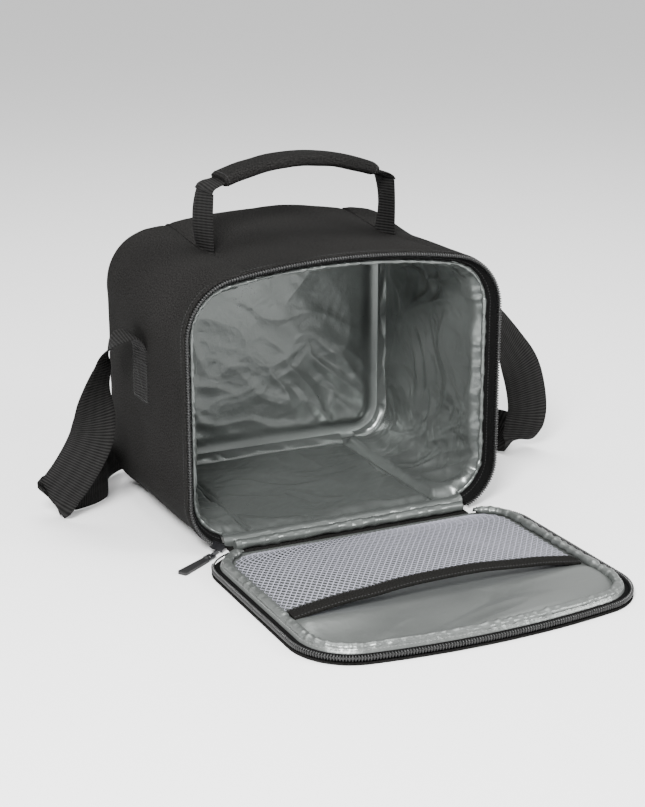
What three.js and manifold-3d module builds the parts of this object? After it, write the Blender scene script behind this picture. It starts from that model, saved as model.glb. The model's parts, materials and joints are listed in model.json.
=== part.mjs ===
// Insulated cooler bag: a soft box whose front opens on a zip and lies out flat as a lid.
// Millimetres, +Z up. The opening faces -Y, and the origin is the middle of the bag's underside.
import * as THREE from "three";
import { mergeVertices } from "three/addons/utils/BufferGeometryUtils.js";
import Module from "manifold-3d";

const wasm = await Module();
wasm.setup();

// ---- Driving dimensions ----
const bagWidth = 292;
const bagHeight = 240;
const bagDepth = 208;
const topArchRadius = 620; // the top is a shallow arch
const topCornerRadius = 50;
const baseCornerRadius = 44;
const backEdgeRadius = 26;
const fabricThickness = 1.2;
const foamThickness = 5;
const linerThickness = 0.8;
const layerGap = 0.3;
const seamHalfSpan = 88; // the top and base panels end here, on both sides
const foldInset = 29; // the zip's two ends stand this far in from the bag's sides
const coilRadius = 1.5;
const coilInset = 1.8;
const tapeThickness = 0.9;
const zipTapeDepth = 10; // how far the body's tape runs back into the bag
const fabricSetback = 4.5; // the fabric's edge stands this far behind the coil
const lidStackDepth = 11; // from the lid's outer face to the body's coil, when shut
const lidFoamThickness = 3;
const lidTrayInset = 9;
const lidRollRadius = 3.4;
const hingeRollRadius = 4.5;
const pocketMouth = 147; // from the lid's fold to the middle of the pocket's binding
const pocketBulge = 10;
const meshThickness = 2;
const bindingWidth = 10;
const webbingWidth = 38;
const webbingThickness = 1.6;
const patchHeight = 44;
const patchCentreHeight = 130;
const patchDepthPosition = -2;
const handleFootSpan = 86; // from the middle of the bag to each foot
const handleLegHeight = 46; // from a foot's bend to the bend under the grip
const gripRise = 19.5; // the grip's middle stands this far over its ends
const sleeveHalfSpan = 70;
const sleeveWidth = 33;
const sleeveThickness = 12;
const coreWidth = 27;
const coreThickness = 3.2;
const pullLength = 34;
const pullWidth = 9;
const pullThickness = 2.2;
const pullHeading = 213; // degrees in plan, the way the pull lies on the ground
const adjusterPosition = -72; // along X, behind the bag
const lidOpenAngle = Math.PI / 2;

// ---- Places that follow from them ----
const clearance = 0.3;
const front = -bagDepth / 2;
const back = bagDepth / 2;
const half = bagWidth / 2;
const hingeHalfSpan = half - foldInset;
const hingeY = front - lidStackDepth;
const fabricFront = front + fabricSetback;
const linerFront = front + zipTapeDepth + 2.5;
const foamOuter = fabricThickness + layerGap;
const foamInner = foamOuter + foamThickness;
const linerOuter = foamInner + layerGap;
const linerInner = linerOuter + linerThickness;
const seamTapeInner = linerInner + layerGap + 0.6;
const archCentre = bagHeight - topArchRadius;
const topCorner = new THREE.Vector2(
  half - topCornerRadius,
  archCentre +
    Math.sqrt((topArchRadius - topCornerRadius) ** 2 - (half - topCornerRadius) ** 2),
);
const baseCorner = new THREE.Vector2(half - baseCornerRadius, baseCornerRadius);
const archStart = Math.atan2(topCorner.y - archCentre, topCorner.x);
const archMiddle = new THREE.Vector2(0, archCentre);
const archSeam = Math.acos(seamHalfSpan / topArchRadius);
const cornerSteps = 7; // how finely the corners and the arch are cut
const archSteps = 8;

// ---- Materials ----
const finish = (color, roughness, metalness = 0) =>
  new THREE.MeshStandardMaterial({ color, roughness, metalness });
const finishes = {
  shell: finish(0x383736, 0.9),
  webbing: finish(0x302f2e, 0.85),
  liner: finish(0x9fa3a1, 0.35, 0.3),
  foam: finish(0xe8e6e0, 0.9),
  mesh: finish(0xc9c9d2, 0.8),
  binding: finish(0x2a2a2a, 0.8),
  zipTape: finish(0x262626, 0.85),
  zipCoil: finish(0x1c1c1c, 0.45),
  zipMetal: finish(0x202022, 0.35, 0.8),
  pull: finish(0x242424, 0.6),
  plastic: finish(0x1e1e1e, 0.5),
};

const bag = new THREE.Group();
const lid = new THREE.Group(); // built shut and upright, then turned down about its fold
lid.position.set(0, hingeY, 0);
lid.rotation.x = lidOpenAngle;
bag.add(lid);

function add(name, geometry, material, parent = bag) {
  const mesh = new THREE.Mesh(geometry, material);
  mesh.name = name;
  parent.add(mesh);
  return mesh;
}

// ---- Geometry helpers ----
// A triangle list becomes one closed geometry, turned so that its faces point out.
function closedGeometry(triangles) {
  let volume = 0;
  for (const [a, b, c] of triangles) volume += a.dot(b.clone().cross(c));
  const flat = [];
  for (const [a, b, c] of triangles) {
    const ordered = volume < 0 ? [a, c, b] : [a, b, c];
    for (const p of ordered) flat.push(p.x, p.y, p.z);
  }
  const geometry = new THREE.BufferGeometry();
  geometry.setAttribute("position", new THREE.Float32BufferAttribute(flat, 3));
  const merged = mergeVertices(geometry, 1e-4);
  merged.computeVertexNormals();
  return merged;
}

// A thick sheet between two grids of points. With wrap, each row is a closed ring.
function sheet(outer, inner, wrap = false) {
  const triangles = [];
  const face = (a, b, c) => {
    const small = 1e-6;
    if (a.distanceTo(b) > small && b.distanceTo(c) > small && c.distanceTo(a) > small)
      triangles.push([a, b, c]);
  };
  const quad = (a, b, c, d) => {
    face(a, b, c);
    face(a, c, d);
  };
  const rows = outer.length;
  const columns = outer[0].length;
  const spans = wrap ? columns : columns - 1;
  for (let i = 0; i < rows - 1; i++)
    for (let j = 0; j < spans; j++) {
      const k = (j + 1) % columns;
      quad(outer[i][j], outer[i][k], outer[i + 1][k], outer[i + 1][j]);
      quad(inner[i][j], inner[i + 1][j], inner[i + 1][k], inner[i][k]);
    }
  for (let j = 0; j < spans; j++) {
    const k = (j + 1) % columns;
    const last = rows - 1;
    quad(outer[0][j], inner[0][j], inner[0][k], outer[0][k]);
    quad(outer[last][j], outer[last][k], inner[last][k], inner[last][j]);
  }
  if (!wrap)
    for (let i = 0; i < rows - 1; i++) {
      const last = columns - 1;
      quad(outer[i][0], outer[i + 1][0], inner[i + 1][0], inner[i][0]);
      quad(outer[i][last], inner[i][last], inner[i + 1][last], outer[i + 1][last]);
    }
  return closedGeometry(triangles);
}

function solid(geometry) {
  const bare = geometry.index ? geometry.toNonIndexed() : geometry.clone();
  for (const name of Object.keys(bare.attributes))
    if (name !== "position") bare.deleteAttribute(name);
  const merged = mergeVertices(bare, 1e-4);
  return new wasm.Manifold(
    new wasm.Mesh({
      numProp: 3,
      vertProperties: merged.attributes.position.array,
      triVerts: new Uint32Array(merged.index.array),
    }),
  );
}

function geometryOf(manifold) {
  const mesh = manifold.getMesh();
  const geometry = new THREE.BufferGeometry();
  geometry.setAttribute("position", new THREE.BufferAttribute(mesh.vertProperties, 3));
  geometry.setIndex(new THREE.BufferAttribute(mesh.triVerts, 1));
  geometry.computeVertexNormals();
  return geometry;
}

function box(x0, x1, y0, y1, z0, z1) {
  const geometry = new THREE.BoxGeometry(x1 - x0, y1 - y0, z1 - z0);
  return geometry.translate((x0 + x1) / 2, (y0 + y1) / 2, (z0 + z1) / 2);
}

function join(geometries) {
  return geometryOf(geometries.map(solid).reduce((a, b) => a.add(b)));
}

function pipe(points, radius, sides, steps) {
  const section = new THREE.Shape();
  section.absarc(0, 0, radius, 0, 2 * Math.PI, false);
  return new THREE.ExtrudeGeometry(section, {
    extrudePath: new THREE.CatmullRomCurve3(points, false, "centripetal"),
    steps,
    curveSegments: sides,
    bevelEnabled: false,
  });
}

// ---- The bag's outline, seen from the front ----
function arc(centre, radius, from, to, steps) {
  const points = [];
  for (let i = 0; i <= steps; i++) {
    const angle = from + ((to - from) * i) / steps;
    points.push(
      new THREE.Vector2(
        centre.x + radius * Math.cos(angle),
        centre.y + radius * Math.sin(angle),
      ),
    );
  }
  return points;
}

// The two right-hand corners, from an angle in the lower one up to where the arch starts.
function rightCorners(inset, from) {
  return [
    ...arc(baseCorner, baseCornerRadius - inset, from, 0, cornerSteps),
    ...arc(topCorner, topCornerRadius - inset, 0, archStart, cornerSteps),
  ];
}
const mirrored = (points) => points.map((p) => new THREE.Vector2(-p.x, p.y)).reverse();

// Each stretch of the outline, at a depth inside the outer face. All run anticlockwise.
function baseLine(inset) {
  const end = seamHalfSpan - clearance / 2;
  return [new THREE.Vector2(-end, inset), new THREE.Vector2(end, inset)];
}
function rightLine(inset) {
  return [
    new THREE.Vector2(seamHalfSpan + clearance / 2, inset),
    ...rightCorners(inset, -Math.PI / 2),
    ...arc(archMiddle, topArchRadius - inset, archStart, archSeam, 1).slice(1),
  ];
}
function topLine(inset) {
  const seam = archSeam + clearance / topArchRadius;
  return arc(archMiddle, topArchRadius - inset, seam, Math.PI - seam, archSteps);
}
const leftLine = (inset) => mirrored(rightLine(inset));
// Both corners and the arch between them, from an angle in the lower right corner round.
function around(inset, from) {
  const right = rightCorners(inset, from);
  const top = arc(archMiddle, topArchRadius - inset, archStart, Math.PI - archStart, archSteps);
  return [...right, ...top.slice(1, -1), ...mirrored(right)];
}
const foldAngle = -Math.PI / 2 + Math.asin((hingeHalfSpan - baseCorner.x) / baseCornerRadius);
const loopLine = (inset) => around(inset, foldAngle); // the zip's, from fold end to fold end
const wholeLine = (inset) => around(inset, -Math.PI / 2);

// A row of points at one place along the bag: an outline stretch at an inset and a depth.
const row = (line, inset, y) => line(inset).map((p) => new THREE.Vector3(p.x, y, p.y));

// The back edge turns inward on a quarter round. Its angle runs from 0 at the walls to 90 degrees.
function onBackRound(line, inset, degrees) {
  const angle = THREE.MathUtils.degToRad(degrees);
  const radius = backEdgeRadius - inset;
  return row(
    line,
    inset + radius * (1 - Math.cos(angle)),
    back - backEdgeRadius + radius * Math.sin(angle),
  );
}

const wallTurn = 42; // the walls' share of the back round
const backTurn = 44; // the back panel takes the rest
function wall(line, outer, inner, start) {
  const grid = (inset) => [
    row(line, inset, start),
    ...[0, 14, 28, wallTurn].map((degrees) => onBackRound(line, inset, degrees)),
  ];
  return sheet(grid(outer), grid(inner));
}
function backWall(outer, inner) {
  const grid = (inset) => {
    const rings = [backTurn, 60, 75, 90].map((degrees) => onBackRound(wholeLine, inset, degrees));
    const middle = new THREE.Vector3(0, back - inset, bagHeight / 2);
    return [...rings, rings[0].map(() => middle)];
  };
  return sheet(grid(outer), grid(inner), true);
}

// ---- Walls: outer fabric, foam and liner ----
const walls = { top: topLine, left: leftLine, right: rightLine, base: baseLine };
const layers = [
  { name: "outer", outer: 0, inner: fabricThickness, start: fabricFront, finish: finishes.shell },
  { name: "foam", outer: foamOuter, inner: foamInner, start: linerFront + 0.5, finish: finishes.foam },
  { name: "liner", outer: linerOuter, inner: linerInner, start: linerFront, finish: finishes.liner },
];
for (const layer of layers) {
  for (const [side, line] of Object.entries(walls))
    add(`${layer.name}_${side}`, wall(line, layer.outer, layer.inner, layer.start), layer.finish);
  add(`${layer.name}_back`, backWall(layer.outer, layer.inner), layer.finish);
}

// ---- Binding tapes over the liner's seams ----
const tapeOuter = linerInner + layerGap;
const crossTape = (line) => {
  const grid = (inset) => [31, 42, 53].map((degrees) => onBackRound(line, inset, degrees));
  return sheet(grid(tapeOuter), grid(seamTapeInner));
};
const tapeGap = 0.4;
const cornerTrim = (line) => (inset) => line(inset).slice(1, -1);
add("liner_tape_back_base", crossTape(baseLine), finishes.liner);
add("liner_tape_back_top", crossTape(topLine), finishes.liner);
add("liner_tape_back_left", crossTape(cornerTrim(leftLine)), finishes.liner);
add("liner_tape_back_right", crossTape(cornerTrim(rightLine)), finishes.liner);
const seamTapeHalfWidth = 4.5;
const seamTapeEnd = back - backEdgeRadius;
for (const [side, sign] of [["left", -1], ["right", 1]]) {
  const x = sign * (seamHalfSpan + 1);
  const base = box(
    x - seamTapeHalfWidth,
    x + seamTapeHalfWidth,
    linerFront + 1,
    seamTapeEnd,
    tapeOuter,
    seamTapeInner,
  );
  add(`liner_tape_base_${side}`, base, finishes.liner);
  const span = seamTapeHalfWidth / topArchRadius;
  const middle = Math.PI / 2 - sign * (Math.PI / 2 - archSeam);
  const line = (inset) =>
    arc(archMiddle, topArchRadius - inset, middle - span, middle + span, 2);
  const grid = (inset) => [row(line, inset, linerFront + 1), row(line, inset, seamTapeEnd - tapeGap)];
  add(`liner_tape_top_${side}`, sheet(grid(tapeOuter), grid(seamTapeInner)), finishes.liner);
}

// ---- Zip on the body: tape, coil and the liner's gathered hem ----
const bodyTape = (line) => {
  const tapeFront = front + coilRadius + clearance + 0.1;
  const end = [linerInner - 0.4, front + zipTapeDepth + 1.5];
  return sheet(
    [row(line, coilInset - 0.6, tapeFront), row(line, ...end)],
    [
      row(line, coilInset - 0.6 + tapeThickness, tapeFront - 0.4),
      row(line, end[0] + tapeThickness, end[1] - 0.4),
    ],
  );
};
add("zip_tape_body", bodyTape(loopLine), finishes.zipTape);
const coilPath = (y) => row(loopLine, coilInset, y);
const coilSides = 6;
const coilSteps = 56;
const coil = (y) => pipe(coilPath(y), coilRadius, coilSides, coilSteps);
add("zip_coil_body", coil(front), finishes.zipCoil);
const hemRadius = 1.6;
const hemInset = linerInner + tapeThickness + hemRadius + 0.4;
const hemPath = row(loopLine, hemInset, front + zipTapeDepth + 1.2);
add("liner_hem", pipe(hemPath, hemRadius, 5, 40), finishes.liner);

// ---- Fold between bag and lid ----
const foldHalf = hingeHalfSpan - 5;
const foldEnd = fabricFront - clearance;
add(
  "fold_strip",
  box(-foldHalf, foldHalf, hingeY + clearance, foldEnd, 0, fabricThickness),
  finishes.shell,
);
const rollHalf = hingeHalfSpan - 9;
const rollY = hingeY + fabricThickness + 2 * clearance + hingeRollRadius;
const rollZ = fabricThickness + clearance + hingeRollRadius;
const foldRoll = [-rollHalf, 0, rollHalf].map((x) => new THREE.Vector3(x, rollY, rollZ));
add("fold_roll", pipe(foldRoll, hingeRollRadius, 10, 6), finishes.liner);

// ---- Lid, in its own frame: Z up from the fold, Y from its outer face inward ----
const lidShellBottom = fabricThickness + clearance;
const trayBottom = 2 * hingeRollRadius + lidShellBottom + 2;
// The lid's outline, cut off level above the fold.
function lidOutline(inset, bottom) {
  const drop = (bottom - baseCorner.y) / (baseCornerRadius - inset);
  return around(inset, Math.asin(Math.max(-1, drop)));
}
function lidPlate(inset, bottom, y, thickness) {
  const shape = new THREE.Shape(lidOutline(inset, bottom));
  const geometry = new THREE.ExtrudeGeometry(shape, { depth: thickness, bevelEnabled: false });
  return geometry.rotateX(Math.PI / 2).translate(0, y + thickness, 0);
}
const lidFoamY = fabricThickness + layerGap;
const lidLinerY = lidFoamY + lidFoamThickness + layerGap;
add("lid_shell", lidPlate(0, lidShellBottom, 0, fabricThickness), finishes.shell, lid);
add(
  "lid_foam",
  lidPlate(lidTrayInset, trayBottom, lidFoamY, lidFoamThickness),
  finishes.foam,
  lid,
);
add(
  "lid_liner",
  lidPlate(lidTrayInset, trayBottom, lidLinerY, linerThickness),
  finishes.liner,
  lid,
);
const lidCoilY = lidLinerY + linerThickness + clearance;
const lidTape = sheet(
  [
    row(loopLine, 0.6, lidCoilY - coilRadius - clearance - tapeThickness - 0.8),
    row(loopLine, lidTrayInset - 0.4, lidFoamY + 0.1),
  ],
  [
    row(loopLine, 0.6, lidCoilY - coilRadius - clearance - 0.8),
    row(loopLine, lidTrayInset - 0.4, lidFoamY + tapeThickness),
  ],
);
add("zip_tape_lid", lidTape, finishes.zipTape, lid);
add("zip_coil_lid", coil(lidCoilY), finishes.zipCoil, lid);
const rollInset = lidTrayInset + lidRollRadius + 0.8;
const rollLine = (inset) => lidOutline(inset, trayBottom + 4);
add(
  "lid_rim_roll",
  pipe(row(rollLine, rollInset, lidCoilY + lidRollRadius), lidRollRadius, 6, 48),
  finishes.liner,
  lid,
);

// ---- Mesh pocket on the lid: an arched sheet, sewn at the fold end and both sides ----
const pocketBottom = trayBottom + 6;
const pocketHalf = half - rollInset - lidRollRadius - 2.5;
const pocketBase = lidCoilY + 0.4;
function pocketHeight(x, z) {
  const across = 1 - (x / pocketHalf) ** 2;
  const along = Math.min(1, (z - pocketBottom) / (pocketMouth - pocketBottom));
  return pocketBase + pocketBulge * across * Math.sin((along * Math.PI) / 2);
}
// The pocket narrows with the lid's lower corners.
function pocketReach(z) {
  const corner = baseCorner.y;
  if (z >= corner) return pocketHalf;
  const radius = corner - (half - pocketHalf);
  return baseCorner.x + Math.sqrt(Math.max(0, radius ** 2 - (corner - z) ** 2));
}
function pocketSheet(from, to, rows, lift, thickness) {
  const grid = (extra) =>
    Array.from({ length: rows + 1 }, (_, i) => {
      const z = from + ((to - from) * i) / rows;
      return Array.from({ length: 13 }, (_, j) => {
        const x = pocketReach(z) * (j / 6 - 1);
        return new THREE.Vector3(x, pocketHeight(x, Math.min(z, pocketMouth)) + lift + extra, z);
      });
    });
  return sheet(grid(0), grid(thickness));
}
const meshEnd = pocketMouth - bindingWidth / 2 - clearance;
add("mesh_pocket", pocketSheet(pocketBottom, meshEnd, 6, 0, meshThickness), finishes.mesh, lid);
add(
  "mesh_binding",
  pocketSheet(meshEnd + clearance, meshEnd + clearance + bindingWidth, 2, -0.2, meshThickness + 0.6),
  finishes.binding,
  lid,
);

// ---- Zip slider, at the left end of the body's coil ----
// It is built at the origin: X along the coil, Y into the bag, Z away from the bag's middle.
const sliderWall = 1.3;
const sliderHalf = 5.5;
const channel = coilRadius + clearance + 0.4; // the coil curves through it
const lip = 0.9; // the inner wall is a short lip, so that it clears the tape
const sliderParts = [
  box(-sliderHalf, sliderHalf, -channel - sliderWall, 0.6, channel, channel + sliderWall),
  box(-sliderHalf, sliderHalf, -channel - sliderWall, -channel, -channel - lip, channel + 0.1),
  box(-sliderHalf, sliderHalf, -channel - 0.1, -0.6, -channel - lip, -channel),
];
const sliderAngle = foldAngle + THREE.MathUtils.degToRad(9);
const sliderPath = baseCornerRadius - coilInset;
const sliderPlace = new THREE.Matrix4()
  .makeRotationY(sliderAngle - Math.PI / 2)
  .setPosition(
    -(baseCorner.x + sliderPath * Math.cos(sliderAngle)),
    front,
    baseCorner.y + sliderPath * Math.sin(sliderAngle),
  );
const sliderBody = join(sliderParts).applyMatrix4(sliderPlace);

// ---- Pull: a wire link in the slider's eye, and a moulded tab lying on the ground ----
// Its group has X along the pull and Y along the pin the pull swings on.
const pull = new THREE.Group();
pull.position.set(-hingeHalfSpan - 13, front - 8, 0);
pull.rotation.z = THREE.MathUtils.degToRad(pullHeading);
bag.add(pull);
const linkWire = 0.7;
const linkLength = 7;
const linkHalf = 3;
const pinHeight = 2.2;
const eyeRadius = 1.9;
const boreRadius = linkWire + clearance;
// A plate standing along the pull, with a bore across it for one bar of the link.
function eyePlate(points, boreX, width) {
  const shape = new THREE.Shape(points.map(([x, z]) => new THREE.Vector2(x, z)));
  const bore = new THREE.Path();
  bore.absarc(boreX, pinHeight, boreRadius, 0, 2 * Math.PI, true);
  shape.holes.push(bore);
  const plate = new THREE.ExtrudeGeometry(shape, {
    depth: width,
    bevelEnabled: false,
    curveSegments: 10,
  });
  return plate.rotateX(Math.PI / 2).translate(0, width / 2, 0);
}
const eyeRound = (centre, from, to) =>
  arc({ x: centre, y: pinHeight }, eyeRadius, from, to, 6).map((p) => [p.x, p.y]);
const lugOutline = [
  [-8.5, 4.6],
  [-8.5, 1.9],
  ...eyeRound(0, -2.2, 1.4),
];
const lug = eyePlate(lugOutline, 0, 1.2);
pull.updateMatrix();
const sliderSolid = solid(sliderBody).add(solid(lug.applyMatrix4(pull.matrix)));
add("zip_slider", geometryOf(sliderSolid), finishes.zipMetal);

const linkRing = [
  [0, -linkHalf],
  [linkLength, -linkHalf],
  [linkLength, linkHalf],
  [0, linkHalf],
];
const linkBars = linkRing.map(([x, y], i) => {
  const [u, v] = linkRing[(i + 1) % linkRing.length];
  return box(
    Math.min(x, u) - linkWire,
    Math.max(x, u) + linkWire,
    Math.min(y, v) - linkWire,
    Math.max(y, v) + linkWire,
    pinHeight - linkWire,
    pinHeight + linkWire,
  );
});
add("zip_pull_link", join(linkBars), finishes.zipMetal, pull);
const tabLow = pinHeight - eyeRadius;
const tabEye = eyePlate(
  eyeRound(linkLength, 0, 2 * Math.PI).slice(0, -1),
  linkLength,
  2 * (linkHalf - linkWire - clearance),
);
const tabStart = linkLength + linkWire + clearance + 0.5;
const tabRound = 2;
const tabShape = new THREE.Shape();
const tabEnd = tabStart + pullLength;
tabShape.moveTo(tabStart, -pullWidth / 2 + 1);
tabShape.lineTo(tabEnd - tabRound, -pullWidth / 2);
tabShape.absarc(tabEnd - tabRound, -pullWidth / 2 + tabRound, tabRound, -Math.PI / 2, 0, false);
tabShape.absarc(tabEnd - tabRound, pullWidth / 2 - tabRound, tabRound, 0, Math.PI / 2, false);
tabShape.lineTo(tabStart, pullWidth / 2 - 1);
const tabBlade = new THREE.ExtrudeGeometry(tabShape, {
  depth: pullThickness,
  bevelEnabled: false,
  curveSegments: 4,
});
add(
  "zip_pull_tab",
  join([tabEye, tabBlade.translate(0, 0, tabLow)]),
  finishes.pull,
  pull,
);

// ---- Handle: two webbing legs, and a grip of folded webbing in a padded sleeve ----
const footZ = archCentre + Math.sqrt(topArchRadius ** 2 - handleFootSpan ** 2);
const footBend = footZ + 4; // the leg turns about a line this high
const legTop = footBend + handleLegHeight;
const knuckle = 2.2;
const strip = (x, width, z0, z1, thickness) =>
  box(x - thickness / 2, x + thickness / 2, -width / 2, width / 2, z0, z1);
for (const [side, sign] of [["left", -1], ["right", 1]]) {
  const x = sign * handleFootSpan;
  const lift = 0.5; // over the arch, which falls away towards the side
  const foot = strip(x, webbingWidth, footZ + lift, footBend - 0.4, webbingThickness);
  add(`handle_end_${side}`, foot, finishes.webbing);
  const legEnds = [footBend + 1, legTop - knuckle - clearance];
  const leg = strip(x, webbingWidth, ...legEnds, webbingThickness);
  add(`handle_leg_${side}`, leg, finishes.webbing);
}
const gripEnd = handleFootSpan;
const gripZ = legTop + 1.5;
function gripPoint(t) {
  const x = gripEnd * t;
  return new THREE.Vector3(x, 0, gripZ + gripRise * (1 - t * t));
}
function gripBand(from, to, width, thickness, steps) {
  const grid = (offset) =>
    Array.from({ length: steps + 1 }, (_, i) => {
      const t = from + ((to - from) * i) / steps;
      const p = gripPoint(t);
      const slope = (-2 * gripRise * t) / gripEnd;
      const up = new THREE.Vector3(-slope, 0, 1).normalize().multiplyScalar(offset);
      return [-width / 2, width / 2].map((y) => new THREE.Vector3(p.x, y, p.z).add(up));
    });
  return sheet(grid(-thickness / 2), grid(thickness / 2));
}
const core = solid(gripBand(-1, 1, coreWidth, coreThickness, 16));
const knuckles = [-1, 1].map((sign) => {
  const pin = new THREE.CylinderGeometry(knuckle, knuckle, webbingWidth, 12);
  const bridge = box(-1.2, 1.2, -coreWidth / 2, coreWidth / 2, 0, gripZ - legTop);
  return [
    solid(pin.translate(sign * handleFootSpan, 0, legTop)),
    solid(bridge.translate(sign * handleFootSpan, 0, legTop)),
  ];
});
const handleCore = knuckles.flat().reduce((a, b) => a.add(b), core);
add("handle_core", geometryOf(handleCore), finishes.webbing);
const sleeveShare = sleeveHalfSpan / gripEnd;
const sleeve = solid(gripBand(-sleeveShare, sleeveShare, sleeveWidth, sleeveThickness, 14)).subtract(
  solid(gripBand(-1, 1, coreWidth + 2 * clearance, coreThickness + 2 * clearance, 16)),
);
add("handle_sleeve", geometryOf(sleeve), finishes.shell);

// ---- Shoulder strap: sewn ends, a free run behind the bag, and an adjuster ----
for (const [side, sign] of [["left", -1], ["right", 1]]) {
  const inner = sign * (half + clearance);
  const outer = sign * (half + clearance + webbingThickness);
  const patch = box(
    Math.min(inner, outer),
    Math.max(inner, outer),
    patchDepthPosition - webbingWidth / 2,
    patchDepthPosition + webbingWidth / 2,
    patchCentreHeight - patchHeight / 2,
    patchCentreHeight + patchHeight / 2,
  );
  add(`strap_end_${side}`, patch, finishes.webbing);
}
// The strap's middle line and the way its width points, from the left end to the right one.
const strapRun = [
  [-147.9, -2, 153.2, 0, 1, 0],
  [-151.5, -2, 163.5, 0, 1, 0.03],
  [-158, -2, 167.5, 0.05, 1, 0],
  [-168, -2, 164, 0.2, 0.97, 0.05],
  [-178.5, -3, 152, 0.5, 0.85, -0.1],
  [-182.8, -4, 139.5, 0.64, 0.73, -0.24],
  [-187.8, -4, 125, 0.77, 0.59, -0.24],
  [-190.2, -3, 111.3, 0.89, 0.37, -0.27],
  [-190.3, 0, 95.4, 0.94, 0.09, -0.34],
  [-191.5, 5, 79, 0.91, -0.23, -0.34],
  [-197, 11, 62, 0.83, -0.49, -0.26],
  [-206.3, 18, 42.7, 0.79, -0.5, -0.35],
  [-214.5, 24, 28.7, 0.72, -0.51, -0.47],
  [-220.6, 29, 17.5, 0.57, -0.5, -0.66],
  [-220, 37, 19.4, 0.35, -0.3, -0.9],
  [-209, 41, 20, 0.1, 0, -1],
  [-193, 43, 20, 0, 0, -1],
  [-176, 50, 20, 0, 0, -1],
  [-162, 62, 20, 0, 0, -1],
  [-155, 79, 20, 0, 0, -1],
  [-150, 98, 20.5, 0, 0, -1],
  [-138, 113, 22, 0, 0, -1],
  [-121, 121, 23.5, 0, 0, -1],
  [-87, 123, 24, 0, 0, -1],
  [-24, 123, 24, 0, 0, -1],
  [-5, 121, 22.5, 0, 0, -1],
  [10, 118, 20.5, 0, 0, -1],
  [50, 116, 20, 0, 0, -1],
  [90, 118, 20, 0, 0, -1],
  [118, 119, 20, 0, 0, -1],
  [139, 112, 20, 0, 0, -1],
  [157, 96, 20, 0, 0, -1],
  [171, 77, 20, 0, 0, -1],
  [189, 61, 20, 0, 0, -1],
  [208, 49, 20, 0, 0, -1],
  [225, 38, 20, -0.1, 0, -1],
  [235, 28, 18, -0.55, -0.05, -0.8],
  [241, 18, 10.5, -0.95, 0.03, -0.25],
  [246, 11, 26, -0.89, 0.31, -0.34],
  [249, 9, 47, -0.9, 0.35, -0.25],
  [240, 6, 82, -0.87, 0.28, -0.41],
  [224, 3, 110, -0.93, -0.27, -0.25],
  [205.5, 1, 134, -0.86, -0.47, -0.22],
  [188, -1, 156, -0.5, -0.8, -0.1],
  [172, -1, 167.5, -0.1, -1, -0.03],
  [159, -2, 170, 0, -1, 0],
  [151.3, -2, 164, 0, -1, 0],
  [147.9, -2, 153.2, 0, -1, 0],
];
const laidWidth = 292; // the run was laid out round a bag of this width and depth
const laidDepth = 208;
const spread = [half - laidWidth / 2, back - laidDepth / 2];
const runPoints = strapRun.map(
  ([x, y, z]) =>
    new THREE.Vector3(x + Math.sign(x) * spread[0], y > 90 ? y + spread[1] : y, z),
);
const runWidths = strapRun.map((s) => new THREE.Vector3(s[3], s[4], s[5]).normalize());
function ribbon(first, last, offset) {
  const grid = (depth) =>
    runPoints.slice(first, last + 1).map((p, i) => {
      const at = first + i;
      const ahead = runPoints[Math.min(at + 1, runPoints.length - 1)];
      const behind = runPoints[Math.max(at - 1, 0)];
      const along = ahead.clone().sub(behind).normalize();
      const across = runWidths[at].clone().multiplyScalar(webbingWidth / 2);
      const out = along.cross(runWidths[at]).normalize().multiplyScalar(depth + offset);
      return [-1, 1].map((s) => p.clone().addScaledVector(across, s).add(out));
    });
  return sheet(grid(-webbingThickness / 2), grid(webbingThickness / 2));
}
add("shoulder_strap", ribbon(0, strapRun.length - 1, 0), finishes.webbing);
// The strap's spare end comes back along it from the adjuster.
const tailOffset = webbingThickness + 0.5;
const tailFirst = 18;
const tailLast = 23;
add("strap_tail", ribbon(tailFirst, tailLast, tailOffset), finishes.webbing);

const strapLevel = runPoints[tailLast];
const adjusterHalf = 13;
const barWidth = 5;
const railThickness = 3;
const bars = 3.2;
const webHalf = webbingThickness / 2 + clearance;
const railZ = webbingWidth / 2 + clearance;
const rail = (side) => {
  const z = strapLevel.z + side * (railZ + railThickness / 2);
  return box(-adjusterHalf, adjusterHalf, -bars, bars, z - railThickness / 2, z + railThickness / 2);
};
const upright = (x, y0, y1) =>
  box(
    x - barWidth / 2,
    x + barWidth / 2,
    y0,
    y1,
    strapLevel.z - railZ - 1,
    strapLevel.z + railZ + 1,
  );
const adjusterParts = [
  rail(-1),
  rail(1),
  upright(-adjusterHalf + barWidth / 2, -bars, -webHalf),
  upright(0, webHalf, bars),
  upright(adjusterHalf - barWidth / 2, -bars, -webHalf),
];
add("strap_adjuster", join(adjusterParts), finishes.plastic).position.set(
  adjusterPosition,
  strapLevel.y,
  0,
);

export default bag;
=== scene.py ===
"""The looks of a soft insulated cooler bag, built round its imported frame.

The bag stands on the ground with its front unzipped and lying out flat as a lid. Every length is in
metres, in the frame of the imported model: +Z up, the opening towards -Y.
"""

from __future__ import annotations

import json
import logging
import math
from dataclasses import dataclass, field
from enum import Enum
from typing import Callable

import bpy
import numpy as np
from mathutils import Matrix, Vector, noise

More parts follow.
